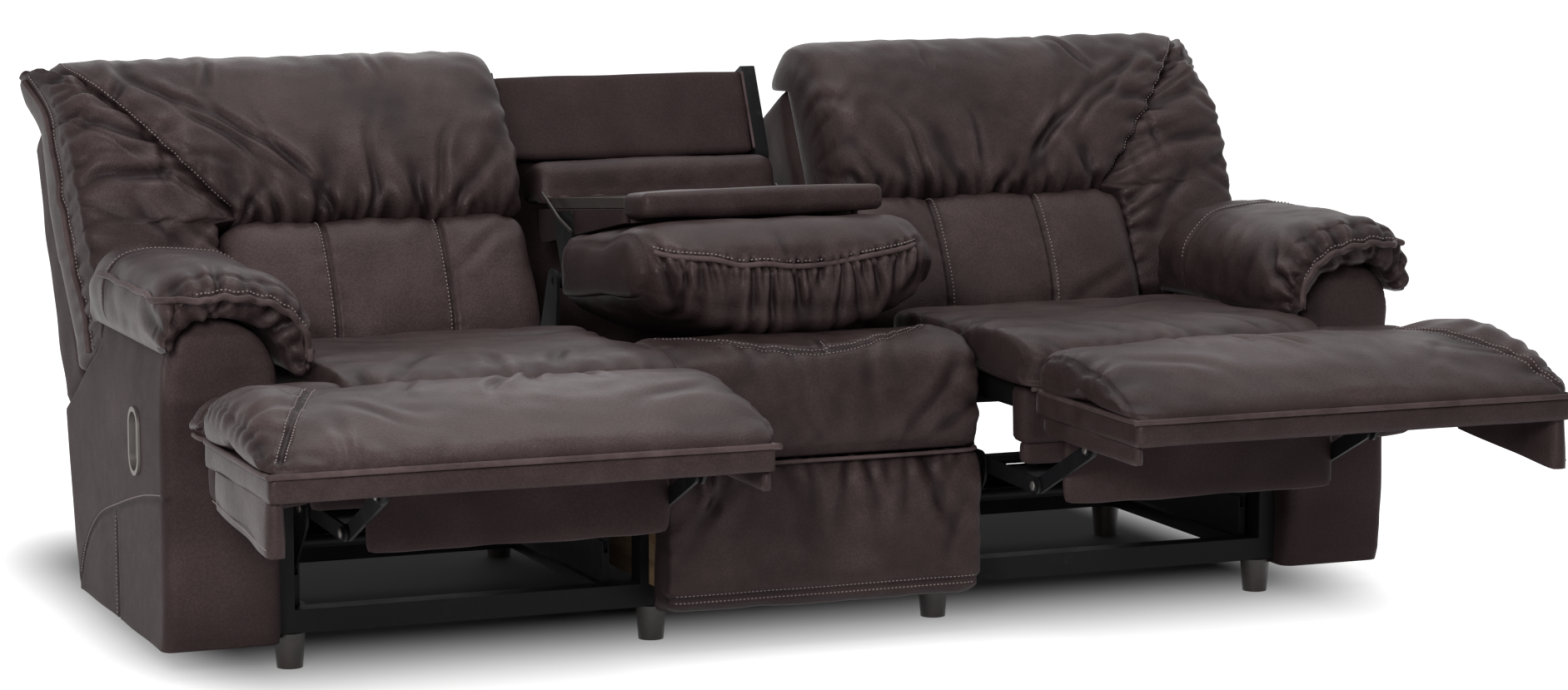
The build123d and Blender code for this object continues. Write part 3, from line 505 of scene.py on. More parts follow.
def spread(tree, value, low, high, out_low=0.0, out_high=1.0):
    """Output that goes smoothly from out_low to out_high as value goes from low to high."""
    node = tree.nodes.new("ShaderNodeMapRange")
    node.interpolation_type = "SMOOTHSTEP"
    for label, number in (("From Min", low), ("From Max", high), ("To Min", out_low), ("To Max", out_high)):
        node.inputs[label].default_value = number
    tree.links.new(value, node.inputs["Value"])
    return node.outputs["Result"]


def cover_group():
    """Brushed cover: pebble grain, cloudy nap, ridges lighter with rubbed wear and painted highlight, and painted shade
    in the valleys.
    """
    group, inlet, outlet = new_group("BrushedCover", (
        ("Base", (0.062, 0.044, 0.041, 1)),
        ("Rubbed", (0.115, 0.088, 0.082, 1)),
        ("Grain Scale", 420.0),
        ("Nap", 0.30),
        ("Fold Shade", 1.0),
        ("Roughness", 0.58),
    ))
    coords = group.nodes.new("ShaderNodeTexCoord").outputs["Object"]
    patch = noise_node(group, coords, 2.8, 3.0, 0.55)
    cloud = noise_node(group, coords, 8.5, 5.0, 0.62)
    smear = noise_node(group, coords, 34.0, 4.0, 0.65)
    nap = noise_node(group, coords, 950.0, 2.0)
    cells = group.nodes.new("ShaderNodeTexVoronoi")
    cells.feature = "SMOOTH_F1"
    cells.inputs["Smoothness"].default_value = 0.6
    group.links.new(coords, cells.inputs["Vector"])
    link(group, inlet, "Grain Scale", cells, "Scale")
    pebble = cells.outputs["Distance"]
    fold = group.nodes.new("ShaderNodeAttribute")
    fold.attribute_name = "fold"
    bend = math_node(group, "MULTIPLY", fold.outputs["Fac"], inlet.outputs["Fold Shade"])
    # Painted shade in the valleys of the folds; the ridges are lightened, partly as rubbed wear and partly as painted
    # highlight.
    valley = spread(group, bend, -0.0045, 0.0, 1.0, 0.0)
    ridge = spread(group, bend, 0.0, 0.005, 0.0, 1.0)
    worn = math_node(group, "ADD", spread(group, cloud, 0.34, 0.70),
                     math_node(group, "MULTIPLY", spread(group, smear, 0.34, 0.78), 0.30))
    rub_and_highlight = math_node(group, "ADD", math_node(group, "MULTIPLY", worn, inlet.outputs["Nap"]),
                    math_node(group, "MULTIPLY", ridge, 0.45), clamp=True)
    colour = mix_colour(group, rub_and_highlight, inlet.outputs["Base"], inlet.outputs["Rubbed"])
    colour = mix_colour(group, 1.0, colour, spread(group, patch, 0.32, 0.68, 0.84, 1.12), "MULTIPLY")
    speck = spread(group, pebble, 0.12, 0.7, 1.05, 0.78)
    speckled = mix_colour(group, 1.0, colour, speck, "MULTIPLY")
    # Painted shade: the valleys darken towards a near-black brown.
    shade = mix_colour(group, math_node(group, "MULTIPLY", valley, 0.72), speckled, (0.009, 0.0058, 0.0058, 1))
    group.links.new(shade, outlet.inputs["Color"])
    rough = math_node(group, "ADD", inlet.outputs["Roughness"],
                      math_node(group, "MULTIPLY", math_node(group, "SUBTRACT", smear, 0.5), 0.22))
    rough = math_node(group, "SUBTRACT", rough, math_node(group, "MULTIPLY", ridge, 0.05))
    group.links.new(rough, outlet.inputs["Roughness"])
    height = math_node(group, "ADD", math_node(group, "MULTIPLY", pebble, 0.7),
                       math_node(group, "MULTIPLY", nap, 0.4))
    height = math_node(group, "ADD", height, math_node(group, "MULTIPLY", smear, 0.35))
    group.links.new(height, outlet.inputs["Height"])
    return group


def metal_group():
    """Painted steel: fine paint texture, scuffs and dust."""
    group, inlet, outlet = new_group("PaintedSteel", (
        ("Paint", (0.008, 0.008, 0.009, 1)),
        ("Scuff", (0.045, 0.042, 0.040, 1)),
        ("Wear", 0.4),
    ))
    coords = group.nodes.new("ShaderNodeTexCoord").outputs["Object"]
    patches = noise_node(group, coords, 26.0, 6.0, 0.7)
    fine = noise_node(group, coords, 700.0, 2.0)
    scratch = noise_node(group, coords, 60.0, 4.0, 0.7, (1.0, 9.0, 9.0))
    worn = math_node(group, "MULTIPLY", spread(group, patches, 0.55, 0.75), inlet.outputs["Wear"])
    scored = math_node(group, "MULTIPLY", spread(group, scratch, 0.62, 0.72), 0.25)
    group.links.new(mix_colour(group, math_node(group, "ADD", worn, scored, clamp=True), inlet.outputs["Paint"],
                               inlet.outputs["Scuff"]), outlet.inputs["Color"])
    group.links.new(math_node(group, "ADD", 0.34, math_node(group, "MULTIPLY", patches, 0.3)),
                    outlet.inputs["Roughness"])
    group.links.new(math_node(group, "ADD", fine, scratch), outlet.inputs["Height"])
    return group


def wood_group():
    """Timber: rings stretched along the board, pores and a few darker streaks."""
    group, inlet, outlet = new_group("Timber", (
        ("Early", (0.42, 0.28, 0.16, 1)),
        ("Late", (0.27, 0.16, 0.085, 1)),
        ("Ring Scale", 38.0),
        ("Gloss", 0.6),
    ))
    coords = group.nodes.new("ShaderNodeTexCoord").outputs["Object"]
    rings = noise_node(group, coords, inlet.outputs["Ring Scale"], 5.0, 0.65, (1.0, 0.12, 1.0))
    pores = noise_node(group, coords, 420.0, 2.0, 0.5, (1.0, 0.08, 1.0))
    blend = math_node(group, "ADD", spread(group, rings, 0.4, 0.62),
                      math_node(group, "MULTIPLY", spread(group, pores, 0.55, 0.7), 0.35), clamp=True)
    group.links.new(mix_colour(group, blend, inlet.outputs["Early"], inlet.outputs["Late"]), outlet.inputs["Color"])
    group.links.new(math_node(group, "ADD", inlet.outputs["Gloss"], math_node(group, "MULTIPLY", pores, 0.15)),
                    outlet.inputs["Roughness"])
    group.links.new(math_node(group, "ADD", rings, pores), outlet.inputs["Height"])
    return group


def finish(name, group, values, bump=0.3, distance=0.0004, sockets=None):
    """Material whose colour, roughness and height come from one of the finish groups."""
    material = bpy.data.materials.new(name)
    material.use_nodes = True
    tree = material.node_tree
    shader = tree.nodes["Principled BSDF"]
    node = tree.nodes.new("ShaderNodeGroup")
    node.node_tree = group
    for label, value in values.items():
        node.inputs[label].default_value = value
    link(tree, node, "Color", shader, "Base Color")
    link(tree, node, "Roughness", shader, "Roughness")
    relief = new_node(tree, "ShaderNodeBump", Strength=bump, Distance=distance)
    link(tree, node, "Height", relief, "Height")
    link(tree, relief, "Normal", shader, "Normal")
    for label, value in (sockets or {}).items():
        shader.inputs[label].default_value = value
    return material


MATERIALS = {}


def make_materials(settings):
    """All finishes, by the names that the builders use."""
    cover, steel, timber = cover_group(), metal_group(), wood_group()
    base = (*settings.cover_colour, 1)
    leather = {"Base": base, "Rubbed": (*settings.rubbed_colour, 1), "Grain Scale": settings.grain_scale}
    sheen = {"Specular IOR Level": 0.15, "Specular Tint": (1.0, 0.84, 0.84, 1)}
    MATERIALS["cover"] = finish("Brushed brown cover", cover, {**leather, "Roughness": 0.43}, 0.60, 0.0008, sheen)
    MATERIALS["cover_dull"] = finish("Brown cover, unworn", cover, {**leather, "Nap": 0.2, "Roughness": 0.66},
                                     0.35, 0.0005, sheen)
    MATERIALS["lining"] = finish("Dark lining cloth", cover, {
        "Base": (0.007, 0.0064, 0.0064, 1), "Rubbed": (0.016, 0.015, 0.0145, 1), "Grain Scale": 900.0, "Nap": 0.6,
        "Roughness": 0.82}, 0.5, 0.0004, {"Specular IOR Level": 0.05})
    # Welts: a lighter rubbed colour for wear, lightened again as ridges in the cover's colour, which is painted
    # highlight.
    MATERIALS["welt"] = finish("Rubbed welt", cover, {
        "Base": base, "Rubbed": (*[c * 1.25 for c in settings.rubbed_colour], 1), "Grain Scale": 700.0, "Nap": 0.8},
        0.3, 0.0003, sheen)
    MATERIALS["thread"] = finish("Sewing thread", cover, {
        "Base": (0.27, 0.22, 0.215, 1), "Rubbed": (0.40, 0.34, 0.33, 1), "Grain Scale": 2400.0, "Roughness": 0.6,
        "Fold Shade": 0.0},
        0.4, 0.0002)
    MATERIALS["steel"] = finish("Black painted steel", steel, {}, 0.15, 0.0002, {"Specular IOR Level": 0.12})
    MATERIALS["wire"] = finish("Oiled spring wire", steel, {
        "Paint": (0.11, 0.1, 0.095, 1), "Scuff": (0.24, 0.22, 0.2, 1)}, 0.1, 0.0002, {"Metallic": 0.9})
    MATERIALS["plywood"] = finish("Bare plywood", timber, {}, 0.2, 0.0005)
    MATERIALS["feet"] = finish("Dark stained feet", timber, {
        "Early": (0.022, 0.013, 0.010, 1), "Late": (0.010, 0.006, 0.005, 1), "Gloss": 0.3}, 0.12, 0.0003,
        {"Coat Weight": 0.4, "Coat Roughness": 0.2})
    MATERIALS["plastic"] = finish("Brown moulded plastic", steel, {
        "Paint": (0.045, 0.036, 0.032, 1), "Scuff": (0.075, 0.062, 0.056, 1), "Wear": 0.25}, 0.12, 0.0002)
    MATERIALS["metal_trim"] = finish("Brushed handle", steel, {
        "Paint": (0.16, 0.145, 0.135, 1), "Scuff": (0.24, 0.22, 0.2, 1), "Wear": 0.5}, 0.12, 0.0002,
        {"Metallic": 0.7})


# ---------------------------------------------------------------- sewing

STITCHES = {}
WELTS = {}


def stitch(body, points, side=RIGHT):
    STITCHES.setdefault(body, []).append(mirrored(points, side))


def welt(body, points, radius, side=RIGHT):
    WELTS.setdefault(body, []).append((mirrored(points, side), radius))


def upright_line(x, y, low, high, count):
    """Points straight up from low to high."""
    return np.column_stack([np.full(count, x), np.full(count, y), np.linspace(low, high, count)])


def smooth_path(points, count):
    """Even 3-D samples through a few points."""
    return smooth_loop(points, count, closed=False)


# ---------------------------------------------------------------- generic soft forms

def side_profile(points, count):
    """Closed side outline in millimetres about the station line, as even samples in metres."""
    return smooth_loop([(y / 1000 + SHIFT, z / 1000) for y, z in points], count)


def upright_profile(points, count):
    """Closed outline in millimetres in its own axes, as even samples in metres."""
    return smooth_loop([(a / 1000, b / 1000) for a, b in points], count)


def soft_box(low, high, radius=0.014, bulge=0.004, seed=1, step=0.012, wobble=0.0012, place=None):
    """Padded board: a box with turned-in edges, slightly fuller in the middle of each face."""
    low, high = np.array(low, float), np.array(high, float)
    size = high - low
    bm = bmesh.new()
    bmesh.ops.create_cube(bm, size=1.0)
    cuts = [max(2, min(90, int(size[k] / step))) for k in range(3)]
    for axis in range(3):
        edges = [e for e in bm.edges if abs((e.verts[0].co - e.verts[1].co)[axis]) > 1e-6]
        bmesh.ops.subdivide_edges(bm, edges=edges, cuts=cuts[axis], use_grid_fill=True)
    co = np.array([v.co[:] for v in bm.verts])
    unit = co * 2
    inner = np.maximum(size / 2 - radius, 1e-4)
    flat = unit * size / 2
    core = np.clip(flat, -inner, inner)
    away = flat - core
    length = np.linalg.norm(away, axis=1, keepdims=True)
    most = np.max(np.abs(away), axis=1, keepdims=True)
    rounded = core + np.where(length > 1e-9, away / np.maximum(length, 1e-9) * most, 0)
    for axis in range(3):
        others = [k for k in range(3) if k != axis]
        fade = np.prod([np.cos(np.clip(unit[:, k], -1, 1) * math.pi / 2) ** 0.6 for k in others], axis=0)
        rounded[:, axis] += np.where(np.abs(unit[:, axis]) > 0.999, np.sign(unit[:, axis]) * bulge * fade, 0)
    points = rounded + (low + high) / 2
    placed = points if place is None else place(points)
    ripple = waves(placed, 0.12, seed) * wobble
    points += ripple[:, None] * np.sign(rounded) * (np.abs(unit) > 0.99) * (size < 0.9)
    if place is not None:
        points = place(points)
    for vert, point in zip(bm.verts, points):
        vert.co = point
    data = bpy.data.meshes.new("soft_box")
    bm.to_mesh(data)
    bm.free()
    tidy_mesh(data)
    # The wobble is stored as folds too, so the cover's colour paints slight shade in its dips and lightens its rises.
    mark_fold(data, ripple)
    return data


def flip_mesh(data, side):
    if side == LEFT:
        data.transform(Matrix.Diagonal((-1, 1, 1, 1)))
        tidy_mesh(data)
    return data


# ---------------------------------------------------------------- reclining backs

PILLOW_INNER = 0.314
SEAM_FOOT, SEAM_HEAD = 0.868, 1.122
LUMBAR_TOP = 0.352
WING_INNER = 0.888
LUMBAR_SEAMS = (0.484, 0.700)
LUMBAR_EDGES = (0.319, *LUMBAR_SEAMS, 0.885)


def seam_edge(h):
    """Where the pillow's slanted outer seam lies across the sofa, by height up the back."""
    share = rise(h, 0.36, 0.335)
    return SEAM_FOOT + (SEAM_HEAD - SEAM_FOOT) * share ** 0.92


def build_pillow(side):
    """Headrest pillow: gathered along its foot, with its slanted seam."""
    profile = upright_profile([
        (-150, 346), (-80, 349), (-29, 352), (-26, 500), (-26, 664), (18, 679), (66, 684), (66, 700), (24, 716),
        (-46, 727), (-108, 712), (-162, 668), (-204, 600), (-230, 520), (-241, 440), (-236, 380), (-206, 347),
    ], 190)
    rings = ring_stack(profile, end_spaced(0.0, 1.0, 170), 0.0, 0.1)
    t = rings[:, :, 0]
    h = rings[:, :, 2]
    x_end = seam_edge(h)
    x = PILLOW_INNER + t * (x_end - PILLOW_INNER)
    share = rounded_end(t, 0.085)
    centre = profile.mean(axis=0)
    pull = 1 - 0.30 * (1 - share)
    rings[:, :, 1] = centre[0] + (rings[:, :, 1] - centre[0]) * pull
    rings[:, :, 2] = centre[1] + (rings[:, :, 2] - centre[1]) * (1 - 0.10 * (1 - share))
    rings[:, :, 0] = x
    front = fall(rings[:, :, 1], -0.05, 0.1)
    seed = 11 if side == RIGHT else 23
    skin = Skin(rings, (0.008, 0.004))
    up = h - 0.345
    amount = pleats(x, up, (0.33, 0.87), seed, 0.030, 0.075, 0.0056, 0.25, 0.01)
    amount += pleats(x, up, (0.36, 0.88), seed + 6, 0.052, 0.150, 0.0070, 0.42, 0.015)
    amount += pleats(x, 0.722 - h, (0.36, 1.08), seed + 1, 0.060, 0.075, 0.0050, 0.35)
    seam = x_end - x
    amount += pleats(h, seam, (0.38, 0.66), seed + 2, 0.030, 0.085, 0.0058, 0.55, 0.01)
    amount += pleats(h, x - PILLOW_INNER, (0.36, 0.62), seed + 3, 0.050, 0.06, 0.0034, 0.35)
    amount += folds(x, h, [
        (0.47, 0.43, 112, 0.07, 0.008, 0.006), (0.60, 0.43, 100, 0.08, 0.008, 0.005),
        (0.74, 0.45, 62, 0.10, 0.009, 0.006), (0.80, 0.50, 52, 0.11, 0.009, 0.007),
        (0.86, 0.655, 118, 0.05, 0.007, 0.006), (0.93, 0.59, 45, 0.10, 0.010, 0.006),
        (0.55, 0.66, 95, 0.05, 0.008, 0.003), (0.88, 0.53, 48, 0.08, 0.008, 0.006),
    ])
    skin.push((amount + 0.0016 * waves(rings, 0.20, seed) + 0.0007 * waves(rings, 0.055, seed + 5)) * front)
    skin.push(groove(seam - 0.006, 0.006, 0.004) * front)
    skin.rings = leaned(skin.rings)
    columns = np.linspace(99, 176, 60)
    sewn = surface_line(skin, np.full(60, 163.0), columns) + (0, -0.0012, 0.0004)
    return skin, sewn


def build_wing(side):
    """Side wing between the pillow's seam and the back's outer edge, with its rim and sewn line."""
    rows = 120
    hs = np.linspace(0.141, 0.712, rows)
    rings = []
    for h in hs:
        inner = WING_INNER if h < LUMBAR_TOP else float(seam_edge(h)) - 0.020
        flare = 0.018 * rise(h, 0.20, 0.25) + 0.026 * rise(h, 0.59, 0.12) ** 2.2
        outer = 1.124 + flare
        front = np.interp(h, [0.14, 0.2, 0.35, 0.5, 0.6, 0.66, 0.727],
                          [-0.196, -0.214, -0.222, -0.224, -0.19, -0.15, -0.095])
        rear = float(np.interp(h, [0.60, 0.68], [-0.029, 0.014]))
        inner = min(inner, outer - 0.03)
        ring = smooth_loop([
            (outer - 0.004, rear), (outer, (front + rear) / 2), (outer - 0.006, front + 0.03),
            (outer - 0.022, front + 0.006), (outer - 0.5 * (outer - inner), front - 0.012),
            (inner + 0.02, front + 0.006), (inner, front + 0.028), (inner, (front + rear) / 2), (inner + 0.004, rear),
            ((inner + outer) / 2, rear),
        ], 130)
        rings.append(np.column_stack([ring[:, 0], ring[:, 1], np.full(len(ring), h)]))
    rings = np.array(rings)
    for row, scale in ((0, 0.86), (1, 0.94), (2, 0.985)):
        middle = rings[row].mean(axis=0)
        rings[row] = middle + (rings[row] - middle) * (scale, scale, 1)
    for k in range(1, 13):
        tip = np.array([rings[-k, :, 0].max() - 0.006, -0.045, hs[-k]])
        rings[-k] = tip + (rings[-k] - tip) * (*[0.30 + 0.70 * math.sqrt(1 - (1 - (k - 1) / 12) ** 2)] * 2, 1)
    skin = Skin(rings, (0.006, 0.01))
    x, w, h = rings[:, :, 0], rings[:, :, 1], rings[:, :, 2]
    front = fall(w, -0.07, 0.08)
    seed = 37 if side == RIGHT else 53
    seam_x = np.where(h < LUMBAR_TOP, WING_INNER, seam_edge(h))
    amount = pleats(h, x - seam_x, (0.17, 0.69), seed, 0.030, 0.11, 0.0060, 0.6, 0.01)
    amount += pleats(h, 1.126 - x, (0.16, 0.70), seed + 1, 0.034, 0.075, 0.0050, 0.5, 0.01)
    amount += folds(x, h, [
        (1.0, 0.52, 25, 0.10, 0.013, 0.008), (1.03, 0.44, 15, 0.09, 0.014, 0.007),
        (0.99, 0.33, 60, 0.08, 0.013, 0.006), (1.04, 0.26, 30, 0.07, 0.012, 0.005),
        (1.05, 0.60, 40, 0.07, 0.012, 0.006),
    ])
    skin.push((amount + 0.0012 * waves(rings, 0.11, seed)) * front)
    edge, sewn = [], []
    for row in range(2, rows - 2):
        ring = skin.rings[row]
        outer = ring[ring[:, 0] > ring[:, 0].mean()]
        middle = (outer[:, 1].min() + outer[:, 1].max()) / 2
        edge.append(outer[np.argmin(np.abs(outer[:, 1] - middle))])
        sewn.append(outer[np.argmin(np.abs(outer[:, 1] - middle + 0.022))])
    edge, sewn = np.array(edge), np.array(sewn)
    skin.rings = leaned(skin.rings)
    return skin, edge, sewn


def build_lumbar(side):
    """Lumbar pad: three panels with a sewn seam between them."""
    profile = upright_profile([
        (-190, 94), (-120, 91), (-48, 98), (-29, 130), (-29, 320), (-60, 342), (-150, 347), (-200, 340),
        (-218, 312), (-226, 262), (-229, 200), (-220, 135),
    ], 150)
    xs = end_spaced(LUMBAR_EDGES[0], LUMBAR_EDGES[-1], 170)
    skin = Skin(ring_stack(profile, xs, 0.026, 0.05), (0.008, 0.008))
    x, w, h = skin.places()
    front = fall(w, -0.10, 0.08)
    seed = 61 if side == RIGHT else 71
    puff = np.zeros(x.shape)
    for a, b in zip(LUMBAR_EDGES, LUMBAR_EDGES[1:]):
        inside = (x >= a) & (x < b)
        puff += inside * 0.010 * np.sin(rise(x, a, b - a) * math.pi) ** 0.7
    amount = puff + 0.0012 * waves(skin.rings, 0.14, seed)
    for seam in LUMBAR_SEAMS:
        amount += groove(x - seam, 0.0034, 0.0040)
        amount += pleats(h, np.abs(x - seam), (0.12, 0.34), seed + int(seam * 10), 0.022, 0.022, 0.0014, 0.3)
    amount += pleats(x, 0.352 - h, (0.34, 0.87), seed + 4, 0.04, 0.045, 0.0030, 0.3)
    amount += pleats(x, h - 0.09, (0.34, 0.87), seed + 5, 0.05, 0.04, 0.0026, 0.3)
    amount += folds(x, h, [(0.42, 0.27, 150, 0.07, 0.012, 0.0035), (0.8, 0.15, 35, 0.07, 0.012, 0.003)])
    skin.push(amount * front)
    skin.rings = leaned(skin.rings)
    return skin, xs


class SOFA_OT_backs(bpy.types.Operator):
    """Headrest pillows, side wings, lumbar pads and outside backs of both reclining seats"""
    bl_idname = "sofa.backs"
    bl_label = "Reclining backs"

    def execute(self, context):
        cover = MATERIALS["cover"]
        for word, side in SIDES:
            body = f"{word}_back"
            skin, seam = build_pillow(side)
            add_object(f"{word}_pillow", skin.mesh("pillow", side), cover, body, (f"{word}_headrest_pillow",))
            stitch(body, seam, side)
            wing, edge, sewn = build_wing(side)
            rim = smooth_path(leaned(edge[::6] + (0.003, 0, 0)), 160)
            welt(body, rim, 0.0055, side)
            stitch(body, smooth_path(leaned(sewn[::6] + (0.0012, -0.0004, 0)), 160), side)
            add_object(f"{word}_wing", wing.mesh("wing", side), cover, body, (f"{word}_back_side_pad",))
            lumbar, xs = build_lumbar(side)
            add_object(f"{word}_lumbar", lumbar.mesh("lumbar", side), cover, body, (f"{word}_lumbar_pad",))
            for seam_x in LUMBAR_SEAMS:
                row = float(np.interp(seam_x, xs, np.arange(len(xs))))
                columns = np.linspace(98, 146, 50)
                stitch(body, surface_line(lumbar, np.full(50, row + 2.0), columns) + (0, -0.0012, 0.0004), side)
            self.shell(word, side, body)
        return {"FINISHED"}

    def shell(self, word, side, body):
        upper = soft_box((0.317, -0.018, 0.131), (1.117, 0.152, 0.664), 0.03, 0.004, 81, 0.014, 0.0015, place=leaned)
        lower = soft_box((0.36, -0.012, 0.03), (0.876, 0.105, 0.15), 0.012, 0.002, 82, 0.014, 0.001, place=leaned)
        data = flip_mesh(join_meshes("shell", [upper, lower]), side)
        add_object(f"{word}_outside_back", data, MATERIALS["cover_dull"], body, (f"{word}_back_shell",))
        welt(body, leaned(upright_line(0.322, 0.150, 0.15, 0.645, 40)), 0.0038, side)


# ---------------------------------------------------------------- seats and footrests

def build_seat(side):
    profile = side_profile([
        (-706, 442), (-500, 440), (-250, 440), (-122, 443), (-109, 470), (-113, 505), (-200, 521), (-400, 529),
        (-560, 534), (-660, 533), (-708, 523), (-733, 505), (-738, 490), (-722, 468), (-712, 453),
    ], 200)
    xs = end_spaced(0.317, 0.892, 130)
    skin = Skin(ring_stack(profile, xs, 0.03, 0.07), (0.008, 0.006))
    x, y, z = skin.places(SHIFT)
    top = rise(z, 0.455, 0.03)
    seed = 101 if side == RIGHT else 131
    amount = 0.0018 * waves(skin.rings, 0.2, seed) + 0.0007 * waves(skin.rings, 0.07, seed + 1)
    amount += pleats(x, y + 0.737, (0.34, 0.88), seed + 2, 0.04, 0.06, 0.0040, 0.3)
    amount += pleats(-y, x - 0.317, (0.14, 0.70), seed + 3, 0.06, 0.06, 0.0032, 0.4)
    amount += pleats(-y, 0.888 - x, (0.14, 0.60), seed + 4, 0.06, 0.06, 0.0032, 0.4)
    amount += folds(x, -y, [
        (0.5, 0.62, 80, 0.09, 0.014, 0.004), (0.62, 0.64, 95, 0.10, 0.013, 0.004),
        (0.74, 0.6, 70, 0.09, 0.014, 0.004), (0.45, 0.3, 20, 0.12, 0.02, 0.003),
        (0.72, 0.3, 160, 0.12, 0.02, 0.003),
    ])
    skin.push(amount * top)
    return skin


def build_ear(side):
    """Ear of the seat pad, in front of the arm."""
    profile = side_profile([
        (-706, 440), (-656, 439), (-624, 442), (-617, 462), (-620, 486), (-646, 508), (-690, 516), (-726, 502),
        (-738, 486), (-721, 465), (-711, 450),
    ], 120)
    xs = end_spaced(0.868, 1.122, 90)
    skin = Skin(ring_stack(profile, xs, 0.026, 0.06), (0.004, 0.01))
    x = skin.rings[:, :, 0]
    droop = rise(x, 0.98, 0.14) ** 2
    skin.rings[:, :, 2] -= 0.022 * droop * rise(skin.rings[:, :, 2], 0.43, 0.06)
    z = skin.rings[:, :, 2].copy()
    y = skin.rings[:, :, 1].copy() - SHIFT
    seed = 151 if side == RIGHT else 161
    top = rise(z, 0.45, 0.02)
    amount = 0.0014 * waves(skin.rings, 0.1, seed)
    amount += pleats(-y, 1.12 - x, (0.60, 0.74), seed + 1, 0.022, 0.08, 0.0045, 0.4)
    amount += pleats(x, -0.60 - y, (0.9, 1.12), seed + 2, 0.03, 0.06, 0.0040, 0.4)
    skin.push(amount * top)
    return skin


FOOT_INNER, FOOT_OUTER = 0.314, 1.134


def flap_seam(y):
    """Where the footrest's slanted side seam lies across it, from the rear out to the front corner."""
    return 0.966 + 0.150 * fall(y, -0.770, 0.360) ** 1.25


def flap_hem(y, start):
    """Height of the outer flap's lower edge, which rises from start at its front towards the rear."""
    return start + (y + 1.125) / 0.325 * 0.026


def on_top(skin, x, y, low):
    """Points on the upper side of a cover at places across and along it."""
    stations = skin.rings[:, :, 0].mean(axis=1)
    out = []
    for px, py in zip(x, y):
        row = float(np.interp(px, stations, np.arange(len(stations))))
        heights = []
        for k in (int(row), min(int(row) + 1, len(stations) - 1)):
            ring = skin.rings[k]
            upper = ring[ring[:, 2] > low]
            order = np.argsort(upper[:, 1])
            heights.append(np.interp(py, upper[order, 1], upper[order, 2]))
        out.append((px, py, heights[0] + (heights[1] - heights[0]) * (row - int(row))))
    return np.array(out)


def build_footrest_pad(side):
    """Footrest pad: a wide middle panel and a flap beyond its slanted seam."""
    profile = side_profile([
        (-1128, 444), (-1000, 442), (-860, 442), (-758, 444), (-748, 466), (-757, 500), (-800, 520), (-870, 531),
        (-940, 529), (-1030, 510), (-1100, 480), (-1136, 458), (-1140, 446),
    ], 190)
    xs = end_spaced(FOOT_INNER, 1.132, 170)
    skin = Skin(ring_stack(profile, xs, 0.03, 0.055), (0.012, 0.012))
    x, y, z = skin.places(SHIFT)
    top = rise(z, 0.45, 0.02)
    seed = 171 if side == RIGHT else 191
    line = flap_seam(y)
    flap = np.maximum(FOOT_OUTER - line, 0.010)
    middle = 0.010 * np.sin(rise(x, FOOT_INNER, line - FOOT_INNER) * math.pi) ** 0.5
    beyond = 0.017 * np.minimum(flap / 0.12, 1) * np.sin(rise(x, line, flap) * math.pi) ** 0.7
    puff = np.where(x < line, middle, beyond) - 0.004
    amount = puff + 0.0018 * waves(skin.rings, 0.2, seed) + 0.0007 * waves(skin.rings, 0.07, seed + 1)
    amount += groove(x - line, 0.0045, 0.0034)
    amount += pleats(-y, line - x, (0.76, 1.12), seed + 2, 0.050, 0.08, 0.0022, 0.5)
    amount += pleats(-y, x - line, (0.76, 1.12), seed + 3, 0.045, 0.08, 0.0034, 0.4)
    amount += pleats(-y, FOOT_OUTER - x, (0.76, 1.14), seed + 4, 0.034, 0.06, 0.0040, 0.4)
    if side == LEFT:
        amount += pleats(x, y + 1.141, (0.78, 1.11), seed + 8, 0.040, 0.075, 0.0046, 0.3)
    amount += pleats(-y, x - FOOT_INNER, (0.76, 1.14), seed + 5, 0.045, 0.06, 0.0038, 0.4)
    amount += pleats(x, y + 1.141, (0.34, 1.11), seed + 6, 0.07, 0.04, 0.0016, 0.4)
    amount += pleats(x, -0.75 - y, (0.34, 1.11), seed + 7, 0.06, 0.08, 0.0040, 0.3)
    amount += folds(x, -y, [
        (0.62, 0.86, 75, 0.06, 0.010, 0.007), (0.69, 0.90, 66, 0.07, 0.010, 0.008),
        (0.53, 0.85, 105, 0.05, 0.010, 0.005), (0.84, 0.88, 80, 0.07, 0.011, 0.004),
        (0.44, 1.0, 30, 0.08, 0.016, 0.003), (0.93, 1.02, 140, 0.06, 0.012, 0.003),
    ])
    skin.push(amount * top)
    return skin


class SOFA_OT_seats(bpy.types.Operator):
    """Seat pads, their ears in front of the arms, and the upholstered front rails"""
    bl_idname = "sofa.seats"
    bl_label = "Seats"

    def execute(self, context):
        cover = MATERIALS["cover"]
        for word, side in SIDES:
            body = f"{word}_seat"
            seat = build_seat(side)
            add_object(f"{word}_seat_pad", seat.mesh("seat", side), cover, body, (f"{word}_seat_cushion",))
            ear = build_ear(side)
            add_object(f"{word}_seat_ear", ear.mesh("ear", side), cover, body, (f"{word}_seat_cushion",))
            edge = smooth_path([(0.33, -0.702 + SHIFT, 0.440), (0.6, -0.707 + SHIFT, 0.439),
                                (0.9, -0.707 + SHIFT, 0.438), (1.08, -0.704 + SHIFT, 0.436),
                                (1.118, -0.69 + SHIFT, 0.436), (1.122, -0.64 + SHIFT, 0.437)], 90)
            welt(body, edge, 0.0045, side)
            rail = soft_box((0.337, -0.653 + SHIFT, 0.336), (0.929, -0.604 + SHIFT, 0.435), 0.012, 0.004, 202)
            block = soft_box((0.929, -0.697 + SHIFT, 0.319), (1.094, -0.621 + SHIFT, 0.416), 0.022, 0.007, 203,
                             0.01, 0.002)
            lower = soft_box((0.346, -0.639 + SHIFT, 0.298), (0.926, -0.613 + SHIFT, 0.337), 0.008, 0.001, 204)
            data = flip_mesh(join_meshes("front_rail", [rail, block, lower]), side)
            add_object(f"{word}_front_rail", data, MATERIALS["cover_dull"], body, (f"{word}_seat_front_rail",))
        return {"FINISHED"}


